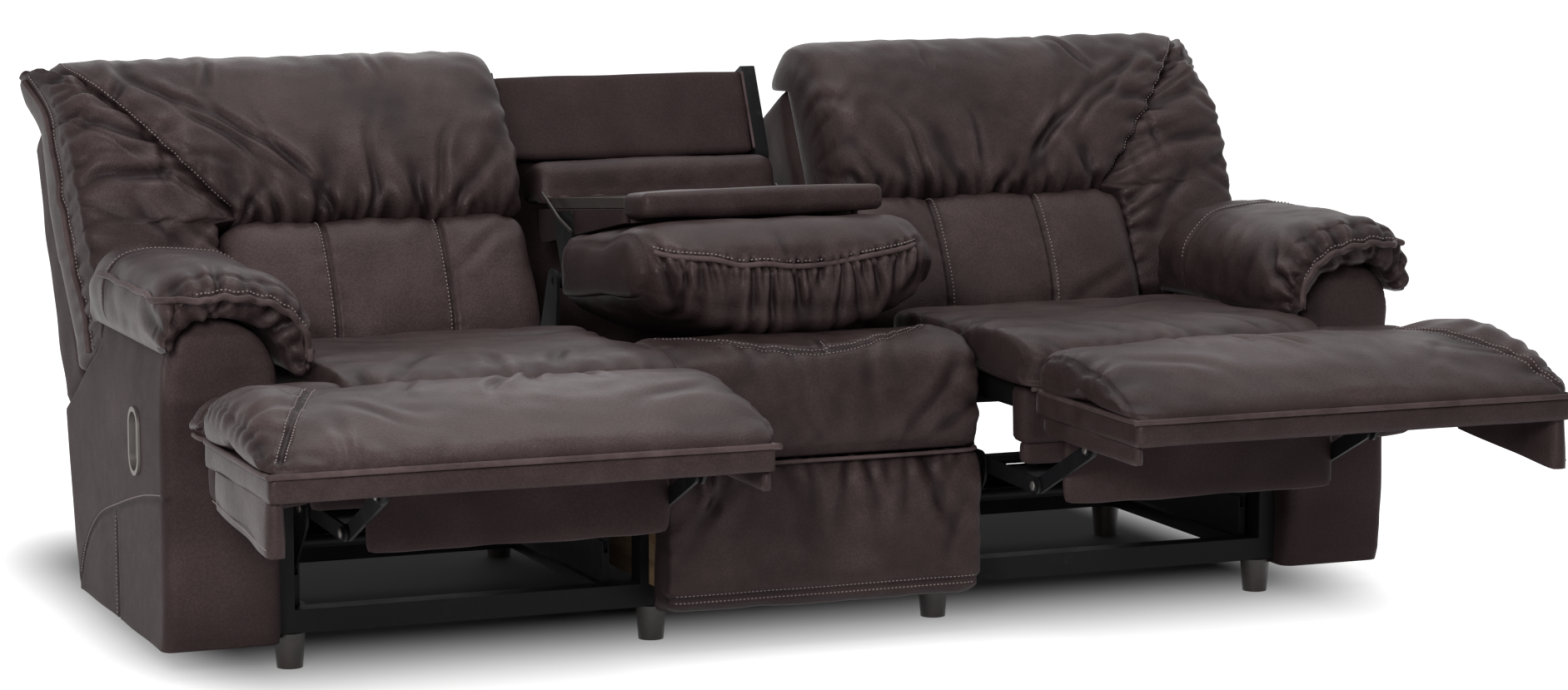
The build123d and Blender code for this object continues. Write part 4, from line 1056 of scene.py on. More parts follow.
class SOFA_OT_footrests(bpy.types.Operator):
    """Footrest pads with their piped bands, side flaps and mid panels"""
    bl_idname = "sofa.footrests"
    bl_label = "Footrests"

    def execute(self, context):
        cover = MATERIALS["cover"]
        for word, side in SIDES:
            body = f"{word}_footrest"
            skin = build_footrest_pad(side)
            add_object(f"{word}_footrest_top", skin.mesh("footrest", side), cover, body,
                       (f"{word}_footrest_pad",))
            run = np.linspace(-1.118, -0.775, 90)
            for offset in (-0.0075, 0.0075):
                stitch(body, on_top(skin, flap_seam(run) + offset, run + SHIFT, 0.452) + (0, 0, 0.0008), side)
            y0, y1 = -1.139 + SHIFT, -0.747 + SHIFT
            band = soft_box((0.3155, y0 + 0.0005, 0.4015), (1.1325, y1 + 0.001, 0.444), 0.0055, 0.001, 211 + side,
                            0.012, 0.0004)
            add_object(f"{word}_footrest_band", flip_mesh(band, side), cover, body)
            edge = smooth_path([(0.320, y1 - 0.01, 0.443), (0.317, -0.95 + SHIFT, 0.443), (0.317, y0 + 0.02, 0.443),
                                (0.335, y0 - 0.001, 0.444), (0.6, y0 - 0.004, 0.445), (0.9, y0 - 0.004, 0.445),
                                (1.112, y0 - 0.001, 0.444), (1.133, y0 + 0.02, 0.443), (1.134, -0.95 + SHIFT, 0.443),
                                (1.132, y1 - 0.01, 0.443)], 200)
            welt(body, edge, 0.005, side)
            self.flaps(word, side, body)
            panel = soft_box((0.362, -0.778 + SHIFT, 0.25), (0.874, -0.762 + SHIFT, 0.37), 0.006, 0.003, 221)
            add_object(f"{word}_mid_panel", flip_mesh(panel, side), MATERIALS["cover_dull"], f"{word}_front_link",
                       (f"{word}_flipper_panel",))
            self.board_finish(word)
        return {"FINISHED"}

    def flaps(self, word, side, body):
        """Outer flap hangs deeper at the front; the inner one is shallow."""
        outer = soft_box((1.105, -1.126 + SHIFT, 0.0), (1.131, -0.801 + SHIFT, 1.0), 0.010, 0.003, 231, 0.012, 0.0015,
                         place=self.hang)
        inner = soft_box((0.319, -1.126 + SHIFT, 0.371), (0.331, -0.771 + SHIFT, 0.405), 0.005, 0.001, 232)
        add_object(f"{word}_side_flaps", flip_mesh(join_meshes("flaps", [outer, inner]), side), MATERIALS["cover"],
                   body, (f"{word}_footrest_wings",))
        y = np.linspace(-1.118, -0.806, 40)
        stitch(body, np.column_stack([np.full(40, 1.1345), y + SHIFT, flap_hem(y, 0.3185) + 0.012]), side)

    def hang(self, points):
        """Outer flap, drawn one high, fitted between its hem and the band."""
        out = points.copy()
        bottom = flap_hem(points[:, 1] - SHIFT, 0.317)
        out[:, 2] = bottom + points[:, 2] * (0.405 - bottom)
        return out

    def board_finish(self, word):
        """The board is covered; its bracket plates are bare steel."""
        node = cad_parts[f"{word}_footrest_board"]
        data = node.data
        data.materials.clear()
        data.materials.append(MATERIALS["cover_dull"])
        data.materials.append(MATERIALS["steel"])
        for face in data.polygons:
            face.material_index = 1 if face.center.z < 0.4035 else 0


# ---------------------------------------------------------------- arms

ARM_INNER, ARM_CROWN, ARM_OUTER = 0.94, 1.055, 1.14
ARM_FACE = 1.1402


def build_arm(side):
    """Arm with its squarer outer shoulder; also gives the seam drawn on its side."""
    rings = []
    for z in np.linspace(0.051, 0.604, 110):
        y_rear = np.interp(z, [0.05, 0.359, 0.494, 0.52, 0.604], [0.146, 0.240, -0.010, -0.033, -0.040]) + SHIFT
        y_front = np.interp(z, [0.05, 0.075, 0.12, 0.56, 0.604], [-0.488, -0.499, -0.502, -0.502, -0.496]) + SHIFT
        outer = ARM_OUTER if z < 0.40 else ARM_CROWN + 0.085 * max(0.0, 1 - ((z - 0.40) / 0.206) ** 3.2) ** 0.3125
        inner = ARM_INNER if z < 0.47 else ARM_CROWN - 0.115 * math.sqrt(max(0.0, 1 - ((z - 0.47) / 0.136) ** 2))
        if outer - inner < 0.03:
            middle = (outer + inner) / 2
            outer, inner = middle + 0.015, middle - 0.015
        r = min(0.022, 0.4 * (outer - inner))
        corner = []
        for cx, cy, start in ((outer - r, y_rear - r, 0), (inner + r, y_rear - r, 90), (inner + r, y_front + r, 180),
                              (outer - r, y_front + r, 270)):
            for a in np.linspace(start, start + 90, 9):
                corner.append((cx + r * math.cos(math.radians(a)), cy + r * math.sin(math.radians(a))))
        corner = np.array(corner)
        closed = np.vstack([corner, corner[:1]])
        run = np.r_[0, np.cumsum(np.linalg.norm(np.diff(closed, axis=0), axis=1))]
        s = np.linspace(0, run[-1], 200, endpoint=False)
        ring = np.column_stack([np.interp(s, run, closed[:, 0]), np.interp(s, run, closed[:, 1])])
        rings.append(np.column_stack([ring, np.full(len(ring), z)]))
    rings = np.array(rings)
    skin = Skin(rings, (0.001, 0.003), 5, centre_spine)
    y, z = rings[:, :, 1] - SHIFT, rings[:, :, 2].copy()
    outside = rise(rings[:, :, 0], 1.12, 0.012)
    ahead = fall(y, -0.49, 0.01)
    seed = 241 if side == RIGHT else 251
    curve = smooth_loop([(-0.515, 0.311), (-0.36, 0.288), (-0.18, 0.246), (-0.034, 0.204), (0.07, 0.14),
                         (0.128, 0.062)], 40, closed=False)
    distance = line_field(y, z, curve)
    riser = line_field(y, z, [(-0.163, 0.05), (-0.163, 0.236)])
    amount = groove(distance, 0.005, 0.0030) + groove(riser, 0.005, 0.0026)
    amount = amount * outside + 0.0012 * waves(rings, 0.2, seed) * np.maximum(outside, ahead)
    amount += 0.004 * ahead * fall(z, 0.30, 0.1) * rise(z, 0.09, 0.1)
    amount += 0.016 * ahead * rise(z, 0.455, 0.07) * fall(z, 0.605, 0.03)
    amount += pleats(y, 0.56 - z, (-0.48, 0.0), seed + 1, 0.06, 0.06, 0.0008, 0.3) * outside
    skin.push(amount)
    return skin, curve


# Underside of the arm pad as x and z, and the point its crescent bends round.
ARCH_UNDER = ([0.88, 0.94, 0.998, 1.055, 1.098, 1.120, 1.134, 1.2],
              [0.51, 0.52, 0.597, 0.609, 0.601, 0.576, 0.554, 0.552])
ARCH_CENTRE = (1.050, 0.500)
# Front and rear end of the arm pad, how far its nose stands ahead, and its cross seam as a share of its length.
PAD_FRONT, PAD_REAR = -0.522 + SHIFT, -0.062 + SHIFT
NOSE = 0.032
CROSS_SEAM = 0.74


def crescent_spine(ring):
    """Middle line of the arm pad's crescent, a little nearer its outer arc, by angle."""
    dx, dz = ring[:, 0] - ARCH_CENTRE[0], ring[:, 2] - ARCH_CENTRE[1]
    angle = np.arctan2(dz, -dx)
    radius = np.hypot(dx, dz)
    low, high = angle.min(), angle.max()
    stops = np.linspace(low, high, 40)
    start, end = int(np.argmin(angle)), int(np.argmax(angle))
    n = len(ring)
    sides = ([(start + k) % n for k in range((end - start) % n + 1)],
             [(start - k) % n for k in range((start - end) % n + 1)])
    radii = []
    for side in sides:
        order = np.argsort(angle[side])
        radii.append(np.interp(stops, angle[side][order], radius[side][order]))
    middle = 0.40 * np.minimum(*radii) + 0.60 * np.maximum(*radii)
    trim = 0.10
    held = np.clip(angle, low + trim, high - trim)
    r = np.interp(held, stops, middle)
    points = np.column_stack([ARCH_CENTRE[0] - r * np.cos(held), ring[:, 1], ARCH_CENTRE[1] + r * np.sin(held)])
    return points, angle


def build_arm_pad(side):
    """Pad over the arm: a crescent in section, gathered round its front."""
    y0, y1 = PAD_FRONT, PAD_REAR
    rings = []
    for y in end_spaced(y0, y1, 120):
        t = (y - y0) / (y1 - y0)
        share = float(rounded_end(np.array(t), 0.16))
        crest = 0.691 - 0.008 * t
        base_x, base_z = 1.046, 0.618
        outline = [
            (0.936, 0.520), (0.958, 0.570), (0.998, 0.597), (1.055, 0.609), (1.098, 0.601), (1.120, 0.576),
            (1.134, 0.554), (1.147, 0.556), (1.157, 0.585), (1.155, 0.636), (1.129, 0.674), (1.080, crest),
            (1.010, crest - 0.004), (0.944, 0.666), (0.900, 0.622), (0.888, 0.576), (0.893, 0.532), (0.912, 0.511),
        ]
        ring = smooth_loop(outline, 170)
        upper = rise(ring[:, 1] - np.interp(ring[:, 0], *ARCH_UNDER), 0.0, 0.05)
        ring[:, 1] -= upper * (1 - share) * (ring[:, 1] - base_z + 0.06) * 0.12
        ring[:, 0] = base_x + (ring[:, 0] - base_x) * (1 - 0.035 * (1 - share) * upper)
        rings.append(np.column_stack([ring[:, 0], np.full(len(ring), y), ring[:, 1]]))
    middle, turn = crescent_spine(rings[0])
    over = (np.hypot(*(rings[0] - (ARCH_CENTRE[0], 0, ARCH_CENTRE[1]))[:, ::2].T)
            > np.hypot(*(middle - (ARCH_CENTRE[0], 0, ARCH_CENTRE[1]))[:, ::2].T))
    nose = []
    for f in np.linspace(0, 1, 26)[1:]:
        f = min(f ** 0.8, 0.985)
        ahead = np.where(over, math.sqrt(1 - (1 - f) ** 2), math.sqrt(1 - (1 - f) ** 5))
        nose.append(middle + (rings[0] - middle) * (1 - f) - np.outer(ahead, (0, NOSE, 0)))
    rings = np.array(nose[::-1] + rings)
    lip = np.linalg.norm(rings[:, :, ::2] - middle[:, ::2], axis=2) + np.clip(rings[:, :, 1] - y0, 0, None)
    skin = Skin(rings, (0.0006, 0.018), 8, crescent_spine)
    x, y, z = rings[:, :, 0], rings[:, :, 1], rings[:, :, 2]
    run = np.broadcast_to(turn * 0.105, x.shape)
    upper = rise(z - np.interp(x, *ARCH_UNDER), 0.010, 0.02)
    upper = np.where(y < y0, 1.0, upper)
    seed = 261 if side == RIGHT else 281
    amount = 0.0015 * waves(rings, 0.13, seed) + 0.0006 * waves(rings, 0.05, seed + 1)
    span = (float(run.min()), float(run.max()))
    amount += pleats(run, lip, span, seed + 2, 0.021, 0.085, 0.0064, 0.22, 0.004) * over
    seam_y = y0 + CROSS_SEAM * (y1 - y0)
    amount += groove(y - seam_y, 0.0040, 0.0032) * over
    tuck = fall(y - y0, 0.02, 0.02)
    amount += pleats(run, lip, span, seed + 6, 0.020, 0.07, 0.0062, 0.25, 0.004) * ~over * tuck
    amount += pleats(run, y1 - y, span, seed + 3, 0.034, 0.08, 0.0036, 0.4) * over
    amount += pleats(y, np.where(x > 1.04, 1.2 - x, 9.0), (y0, y1), seed + 4, 0.09, 0.05, 0.0012, 0.5)
    amount += pleats(y, np.where(x < 1.0, x - 0.885, 9.0), (y0, y1), seed + 5, 0.08, 0.06, 0.0020, 0.5)
    skin.push(amount * upper)
    return skin


class SOFA_OT_arms(bpy.types.Operator):
    """Arms with their sewn side seams, and the gathered pads over them"""
    bl_idname = "sofa.arms"
    bl_label = "Arms"

    def execute(self, context):
        for word, side in SIDES:
            skin, curve = build_arm(side)
            arm = self.cut_pocket(skin.mesh("arm", side), side)
            add_object(f"{word}_arm_cover", arm, MATERIALS["cover_dull"], "base", (f"{word}_arm",))
            path = np.column_stack([np.full(len(curve), ARM_FACE), curve[:, 0] + SHIFT, curve[:, 1] + 0.007])
            stitch("base", path[2:-1], side)
            stitch("base", upright_line(ARM_FACE, -0.156 + SHIFT, 0.06, 0.226, 20), side)
            pad = build_arm_pad(side)
            add_object(f"{word}_arm_pillow", pad.mesh("arm_pad", side), MATERIALS["cover"], "base",
                       (f"{word}_arm_pad",))
            front = self.front_line(pad)
            welt("base", smooth_path(np.vstack([front, self.side_line(pad)]), 260), 0.0058, side)
            stitch("base", smooth_path(front, 130) + (0, 0.0025, 0.0115), side)
            stitch("base", self.cross_line(pad), side)
        return {"FINISHED"}

    def front_line(self, pad):
        """Line of the welt round the pad's front, from its inner end over the top."""
        middle, turn = crescent_spine(pad.rings[0])
        order = np.argsort(turn)
        arc = middle[order[turn[order] > turn.min() + 0.08]]
        arc = arc[(arc[:, 0] < 1.06) | (arc[:, 2] > 0.640)] + (0, -NOSE - 0.0045, 0)
        arc = arc[np.argsort(arc[:, 0] - 0.4 * (arc[:, 0] < 0.95) * (0.62 - arc[:, 2]))][::5]
        return arc + np.outer(np.sin(np.arange(len(arc)) * 1.9), (0, -0.0015, 0.0022))

    def side_line(self, pad):
        """Line of the welt back along the pad's outer side."""
        rim = []
        for row in (8, 15, 22, *range(30, 126, 8)):
            ring = pad.rings[row]
            ring = ring[ring[:, 0] > 1.09]
            best = np.argmin(np.abs(ring[:, 2] - 0.644) - 0.4 * ring[:, 0])
            rim.append(ring[best] + (0.003, -0.003 if row < 25 else 0.0, 0.0015 * math.sin(row)))
        return rim

    def cross_line(self, pad):
        """Sewn line across the pad, just behind its cross seam."""
        seam_y = PAD_FRONT + CROSS_SEAM * (PAD_REAR - PAD_FRONT) + 0.008
        row = int(np.argmin(np.abs(pad.rings[:, :, 1].mean(axis=1) - seam_y)))
        ring = pad.rings[row]
        upper = ring[(ring[:, 2] > 0.585) & (ring[:, 2] > np.interp(ring[:, 0], *ARCH_UNDER) + 0.03)]
        return smooth_path(upper[np.argsort(upper[:, 0])][::4] + (0, 0, 0.0008), 90)

    def cut_pocket(self, data, side):
        """Opens the outer face round the release cup."""
        ring = []
        for a in np.linspace(0, 2 * math.pi, 40, endpoint=False):
            dy = 0.0295 * math.cos(a)
            dz = 0.0295 * math.sin(a) + (0.023 if math.sin(a) > 0 else -0.023)
            ring.append((dy, dz))
        verts = [(side * x, -0.314 + SHIFT + dy, 0.380 + dz) for x in (1.110, 1.170) for dy, dz in ring]
        n = len(ring)
        faces = [tuple(range(n)), tuple(range(2 * n - 1, n - 1, -1))]
        faces += [(k, n + k, n + (k + 1) % n, (k + 1) % n) for k in range(n)]
        cutter_mesh = bpy.data.meshes.new("cutter")
        cutter_mesh.from_pydata(verts, [], faces)
        tidy_mesh(cutter_mesh)
        cutter, body = linked("cutter", cutter_mesh), linked("arm_body", data)
        modifier = body.modifiers.new("pocket", "BOOLEAN")
        modifier.operation = "DIFFERENCE"
        modifier.solver = "EXACT"
        modifier.object = cutter
        result = evaluated(body)
        for item in (cutter, body):
            bpy.data.objects.remove(item)
        return result


# ---------------------------------------------------------------- centre seat and rear board

def seat_arc(x):
    """Depth of the seam that arcs across the centre seat's nose."""
    return -0.546 + 0.115 * (x / 0.26) ** 2


def build_centre_seat():
    """Centre seat with the arc sewn across its nose."""
    profile = side_profile([
        (-556, 325), (-400, 324), (-200, 324), (50, 325), (60, 350), (61, 405), (0, 424), (-180, 462), (-330, 500),
        (-430, 521), (-490, 522), (-540, 508), (-576, 476), (-592, 425), (-590, 372), (-578, 338),
    ], 210)
    xs = end_spaced(-0.289, 0.289, 160)
    skin = Skin(ring_stack(profile, xs, 0.022, 0.045), (0.003, 0.003))
    x, y, z = skin.places(SHIFT)
    top = rise(z, 0.335, 0.04)
    arc_y = seat_arc(x)
    ahead = arc_y - y
    shaped = top * (np.abs(x) < 0.275)
    amount = 0.0016 * waves(skin.rings, 0.17, 301) + 0.0007 * waves(skin.rings, 0.06, 302)
    amount += groove(ahead, 0.0055, 0.0045) * rise(z, 0.42, 0.03) * shaped
    amount += groove(x - 0.012, 0.005, 0.0035) * (y > arc_y) * (y < arc_y + 0.045) * shaped
    amount += pleats(x, z - 0.325, (-0.27, 0.27), 303, 0.034, 0.07, 0.0036, 0.3) * (y < -0.45)
    amount += pleats(x, ahead, (-0.27, 0.27), 304, 0.05, 0.10, 0.0030, 0.3) * rise(z, 0.4, 0.05)
    amount += pleats(z, 0.289 - np.abs(x), (0.34, 0.5), 305, 0.035, 0.08, 0.0040, 0.5) * (y < -0.5)
    amount += folds(x, z, [
        (0.20, 0.42, 60, 0.09, 0.012, 0.005), (0.24, 0.38, 48, 0.08, 0.012, 0.005),
        (-0.22, 0.42, 120, 0.09, 0.013, 0.005), (0.02, 0.40, 95, 0.06, 0.016, 0.002),
    ]) * (y < -0.5)
    skin.push(amount * top)
    return skin, xs


def build_front_panel():
    profile = side_profile([
        (-560, 66), (-520, 66), (-503, 68), (-502, 200), (-503, 316), (-530, 319), (-566, 317), (-586, 290),
        (-591, 240), (-593, 180), (-590, 120), (-578, 82),
    ], 190)
    xs = end_spaced(-0.289, 0.289, 150)
    skin = Skin(ring_stack(profile, xs, 0.014, 0.04), (0.003, 0.003))
    x, y, z = skin.places(SHIFT)
    ahead = fall(y, -0.515, 0.03)
    amount = 0.0016 * waves(skin.rings, 0.2, 311) + 0.0006 * waves(skin.rings, 0.07, 312)
    amount += groove(z - 0.094, 0.005, 0.0035)
    amount += pleats(x, 0.318 - z, (-0.27, 0.27), 313, 0.036, 0.10, 0.0050, 0.35)
    amount += pleats(z, 0.289 - np.abs(x), (0.1, 0.31), 314, 0.05, 0.05, 0.0024, 0.5)
    amount += folds(x, z, [
        (0.2, 0.27, 120, 0.08, 0.013, 0.005), (-0.2, 0.26, 55, 0.07, 0.013, 0.004), (0.24, 0.2, 80, 0.07, 0.013, 0.004),
        (0.0, 0.12, 5, 0.15, 0.016, 0.002), (-0.05, 0.25, 100, 0.06, 0.014, 0.003),
    ])
    skin.push(amount * ahead)
    return skin, xs


def panel_points(points):
    """Points drawn flat on the rear board's face, set at its lean (x, depth, height along it)."""
    out = np.array(points, float)
    d, h = out[..., 1].copy(), out[..., 2].copy()
    out[..., 1] = 0.399 + SHIFT + h * math.sin(BOARD_LEAN) + d * math.cos(BOARD_LEAN)
    out[..., 2] = 0.762 + h * math.cos(BOARD_LEAN) - d * math.sin(BOARD_LEAN)
    return out


class SOFA_OT_centre(bpy.types.Operator):
    """Centre seat, its front panel with the sewn hem, and the boards behind the console"""
    bl_idname = "sofa.centre"
    bl_label = "Centre section"

    def execute(self, context):
        cover = MATERIALS["cover"]
        seat, xs = build_centre_seat()
        add_object("centre_seat", seat.mesh("centre_seat"), cover, "base", ("centre_seat_cushion",))
        side_rows = np.linspace(14, 145, 110)
        arc_y = seat_arc(np.interp(side_rows, np.arange(len(xs)), xs)) + SHIFT
        for offset in (-0.006, 0.008):
            stitch("base", self.on_surface(seat, side_rows, arc_y + offset))
        centre_row = float(np.interp(0.018, xs, np.arange(len(xs))))
        ys = np.linspace(-0.549, -0.515, 12) + SHIFT
        stitch("base", self.on_surface(seat, np.full(12, centre_row), ys))
        nose = ((-0.288, -0.50), (-0.282, -0.572), (-0.2, -0.588), (0, -0.590), (0.2, -0.588), (0.282, -0.572),
                (0.288, -0.50))
        welt("base", smooth_path([(x, y + SHIFT, 0.3215) for x, y in nose], 120), 0.0035)
        panel, xs = build_front_panel()
        add_object("centre_front", panel.mesh("front_panel"), cover, "base", ("centre_front_panel",))
        rows = np.linspace(6, 143, 120)
        for z in (0.100, 0.087):
            stitch("base", self.on_front(panel, rows, z))
        board = soft_box((-0.252, -0.001, 0.0), (0.252, 0.019, 0.1655), 0.005, 0.002, 321, 0.012, 0.0008,
                         place=panel_points)
        add_object("rear_board", board, MATERIALS["cover_dull"], "base", ("rear_panel",))
        for x in (-0.2535, 0.2535):
            welt("base", panel_points(upright_line(x, -0.002, 0.004, 0.162, 30)), 0.0032)
        self.outside_back()
        self.rear_shade_linings()
        return {"FINISHED"}

    def rear_shade_linings(self):
        """Low boards in dark cloth on the rear rail, behind each mechanism: dark sheets that stand in for the shade
        under the sofa.
        """
        for word, side in SIDES:
            board = soft_box((0.288, 0.5085, 0.058), (0.936, 0.5135, 0.148), 0.002, 0.0, 341, 0.02, 0.0006)
            add_object(f"{word}_rear_shade_lining", flip_mesh(board, side), MATERIALS["lining"], "base")

    def on_surface(self, skin, rows, ys):
        """Points on the upper side at rows and at depths across the seat."""
        out = []
        for row, y in zip(rows, ys):
            ring = skin.rings[int(round(row))]
            upper = ring[ring[:, 2] > 0.40]
            order = np.argsort(upper[:, 1])
            out.append((upper[0, 0], y, np.interp(y, upper[order, 1], upper[order, 2])))
        return np.array(out)

    def on_front(self, skin, rows, z):
        """Points on the front panel's face at one height."""
        out = []
        for row in rows:
            ring = skin.rings[int(round(row))]
            front = ring[ring[:, 1] < -0.545 + SHIFT]
            order = np.argsort(front[:, 2])
            out.append((front[0, 0], np.interp(z, front[order, 2], front[order, 1]), z))
        return np.array(out)

    def outside_back(self):
        """Lower half hangs straight; the upper half follows the posts' lean."""
        straight = 0.66

        def bent(points):
            out = points.copy()
            run = points[:, 2]
            over = np.clip(run - straight, 0, None)
            soft = np.where(over < 0.04, over ** 2 / 0.08, over - 0.02)
            out[:, 1] = 0.436 + SHIFT + points[:, 1] + soft * math.sin(BOARD_LEAN)
            out[:, 2] = (0.073 + np.minimum(run, straight) + over - soft * (1 - math.cos(BOARD_LEAN))
                         - points[:, 1] * 0.2 * (over > 0))
            return out
        cloth = soft_box((-0.28, 0.0005, 0.0), (0.28, 0.0095, 0.840), 0.0035, 0.001, 331, 0.012, 0.0007, place=bent)
        add_object("outside_cover", cloth, MATERIALS["cover_dull"], "base", ("outside_back",))


# ---------------------------------------------------------------- console

def build_console_cushion():
    """Console's pad with its gathered front, and the seam above the gathers."""
    profile = upright_profile([
        (-428, -240), (-340, -256), (-200, -262), (-60, -262), (44, -257), (61, -232), (58, -84), (0, -66),
        (-100, -57), (-200, -51), (-300, -47), (-372, -52), (-424, -78), (-447, -106), (-452, -150), (-446, -200),
    ], 230)
    rings = []
    xs = end_spaced(-0.262, 0.262, 190)
    centre = profile.mean(axis=0)
    for x in xs:
        t = abs(x) / 0.262
        pull = 0.034 * (1 - math.sqrt(max(0.0, 1 - max(0.0, (t - 0.66) / 0.34) ** 2)))
        rel = profile - centre
        radius = np.linalg.norm(rel, axis=1, keepdims=True)
        section = centre + rel * (1 - pull / np.maximum(radius, 1e-6))
        low = fall(section[:, 1], -0.13, 0.13)
        section[:, 1] += low * 0.075 * t ** 2.6
        section[:, 0] += fall(section[:, 0], -0.20, 0.2) * (0.022 * t ** 2.4 + 0.03 * low * t ** 2)
        rings.append(np.column_stack([np.full(len(section), x), section]))
    rings = np.array(rings)
    skin = Skin(rings, (0.024, 0.024), 12)
    x, y, z = rings[:, :, 0], rings[:, :, 1].copy(), rings[:, :, 2].copy()
    edge_z = -0.092 - 0.038 * np.cos(np.clip(x / 0.285, -1, 1) * math.pi / 2) ** 1.2
    ahead = fall(y, -0.33, 0.06)
    drop = edge_z - z
    calm = fall(np.abs(x), 0.262, 0.03)
    amount = 0.0014 * waves(rings, 0.15, 341) + 0.0006 * waves(rings, 0.06, 342)
    amount += groove(drop, 0.0055, 0.0055) * ahead
    amount += pleats(x, drop, (-0.27, 0.27), 343, 0.019, 0.10, 0.0094, 0.20, 0.005) * ahead
    amount += pleats(x, -drop, (-0.26, 0.26), 344, 0.034, 0.05, 0.0036, 0.3) * ahead
    amount += folds(x, z, [(-0.22, -0.17, 120, 0.08, 0.013, 0.006), (0.22, -0.17, 60, 0.08, 0.013, 0.006),
                           (0.0, -0.2, 5, 0.14, 0.016, 0.003)]) * ahead
    skin.push(amount * calm)
    index = np.argmin(np.where(ahead > 0.3, np.abs(drop), 9), axis=1)
    seam = skin.rings[np.arange(len(xs)), index]
    skin.rings = tilted(skin.rings)
    return skin, tilted(seam[6:-6])


class SOFA_OT_console(bpy.types.Operator):
    """Folding console: pad, padded front edge, tub and bolster"""
    bl_idname = "sofa.console"
    bl_label = "Console"

    def execute(self, context):
        cover = MATERIALS["cover"]
        pad, seam = build_console_cushion()
        add_object("console_pad", pad.mesh("console_pad"), cover, "console", ("console_cushion",))
        smooth = smooth_path(seam[::14], 150)
        welt("console", smooth + (0, -0.0045, 0.0015), 0.0048)
        stitch("console", smooth + (0, -0.003, 0.0105))
        slab = soft_box((-0.227, -0.2945, -0.0395), (0.227, -0.184, 0.0055), 0.011, 0.003, 351, 0.010, 0.001,
                        place=tilted)
        add_object("console_front_edge", slab, cover, "console", ("console_slab",))
        self.tub()
        self.bolster()
        return {"FINISHED"}

    def tub(self):
        """Covered tub that the tray drops into."""
        walls = []
        for x0, x1 in ((-0.226, -0.212), (0.212, 0.226)):
            walls.append(soft_box((x0, -0.181, 0.0), (x1, 0.300, 1.0), 0.004, 0.001, 361, 0.014, 0.0006,
                                  place=self.sag))
        for y0, y1, seed in ((-0.181, -0.169, 362), (0.286, 0.300, 363)):
            walls.append(soft_box((-0.212, y0, 0.0), (0.212, y1, 1.0), 0.004, 0.0, seed, 0.014, 0.0, place=self.sag))
        floor = soft_box((-0.212, -0.169, 0.0), (0.212, 0.286, 0.01), 0.003, 0.0, 364, 0.02, 0.0, place=self.low)
        add_object("console_tub", join_meshes("tub", walls + [floor]), MATERIALS["cover_dull"], "console",
                   ("console_box",))

    def depth_at(self, y):
        """Height of the tub's floor, which slopes down towards the rear."""
        return np.interp(y, [-0.181, 0.270, 0.300], [-0.048, -0.086, -0.062])

    def sag(self, points):
        """Tub walls, drawn one high, fitted between floor and table."""
        out = points.copy()
        bottom = self.depth_at(points[:, 1])
        out[:, 2] = bottom + points[:, 2] * (-0.0225 - bottom)
        return tilted(out)

    def low(self, points):
        """Tub floor, laid on its slope."""
        out = points.copy()
        out[:, 2] = self.depth_at(points[:, 1]) + points[:, 2]
        return tilted(out)

    def bolster(self):
        """Roll behind the tray, with a welt along its foot."""
        profile = upright_profile([
            (243, -13), (290, -14), (340, -13), (351, 0), (352, 26), (338, 52), (300, 66), (264, 62), (245, 46),
            (240, 16),
        ], 130)
        xs = end_spaced(-0.235, 0.235, 140)
        skin = Skin(ring_stack(profile, xs, 0.012, 0.03), (0.003, 0.003))
        x, z = skin.rings[:, :, 0], skin.rings[:, :, 2].copy()
        top = rise(z, -0.008, 0.02)
        amount = 0.0010 * waves(skin.rings, 0.16, 371) + 0.0005 * waves(skin.rings, 0.05, 372)
        amount += pleats(x, z + 0.013, (-0.22, 0.22), 373, 0.05, 0.03, 0.0014, 0.3)
        skin.push(amount * top)
        skin.rings = tilted(skin.rings)
        add_object("console_roll", skin.mesh("bolster"), MATERIALS["cover"], "console", ("console_bolster",))
        line = np.column_stack([np.linspace(-0.228, 0.228, 80), np.full(80, 0.2415), np.full(80, 0.0)])
        welt("console", tilted(line), 0.003)


# ---------------------------------------------------------------- mechanism

NODE_FINISHES = {
    "steel": ("cross_rails", "side_rails", "slide_channels", "front_posts", "rear_posts", "console_brackets",
              "console_plates"),
    "wire": ("console_stays",),
    "feet": ("front_feet", "rear_feet"),
    "plywood": ("centre_box",),
    "plastic": ("console_tray",),
}
SIDED_FINISHES = {
    "steel": ("seat_side_plates", "seat_cross_tubes", "back_brackets", "link_a", "link_b"),
    "lining": ("seat_frame",),
    "metal_trim": ("release_bezel",),
    "plastic": ("release_paddle",),
}
# Inner and outer face of a seat's mechanism plates across the sofa, and its pivots (y, z).
MECH_FACES = (0.340, 0.896)
SEAT_PIVOT = (-0.463 + SHIFT, 0.275)
ELBOW = (-0.682 + SHIFT, 0.268)
FOOT_PIVOT = (-0.885 + SHIFT, 0.362)


def new_tree(name, values):
    """Geometry nodes tree with number sockets; returns it with its input and output nodes."""
    tree = bpy.data.node_groups.new(name, "GeometryNodeTree")
    face = tree.interface
    face.new_socket("Geometry", in_out="INPUT", socket_type="NodeSocketGeometry")
    for label, value in values:
        face.new_socket(label, in_out="INPUT", socket_type="NodeSocketFloat").default_value = value
    face.new_socket("Geometry", in_out="OUTPUT", socket_type="NodeSocketGeometry")
    return tree, tree.nodes.new("NodeGroupInput"), tree.nodes.new("NodeGroupOutput")


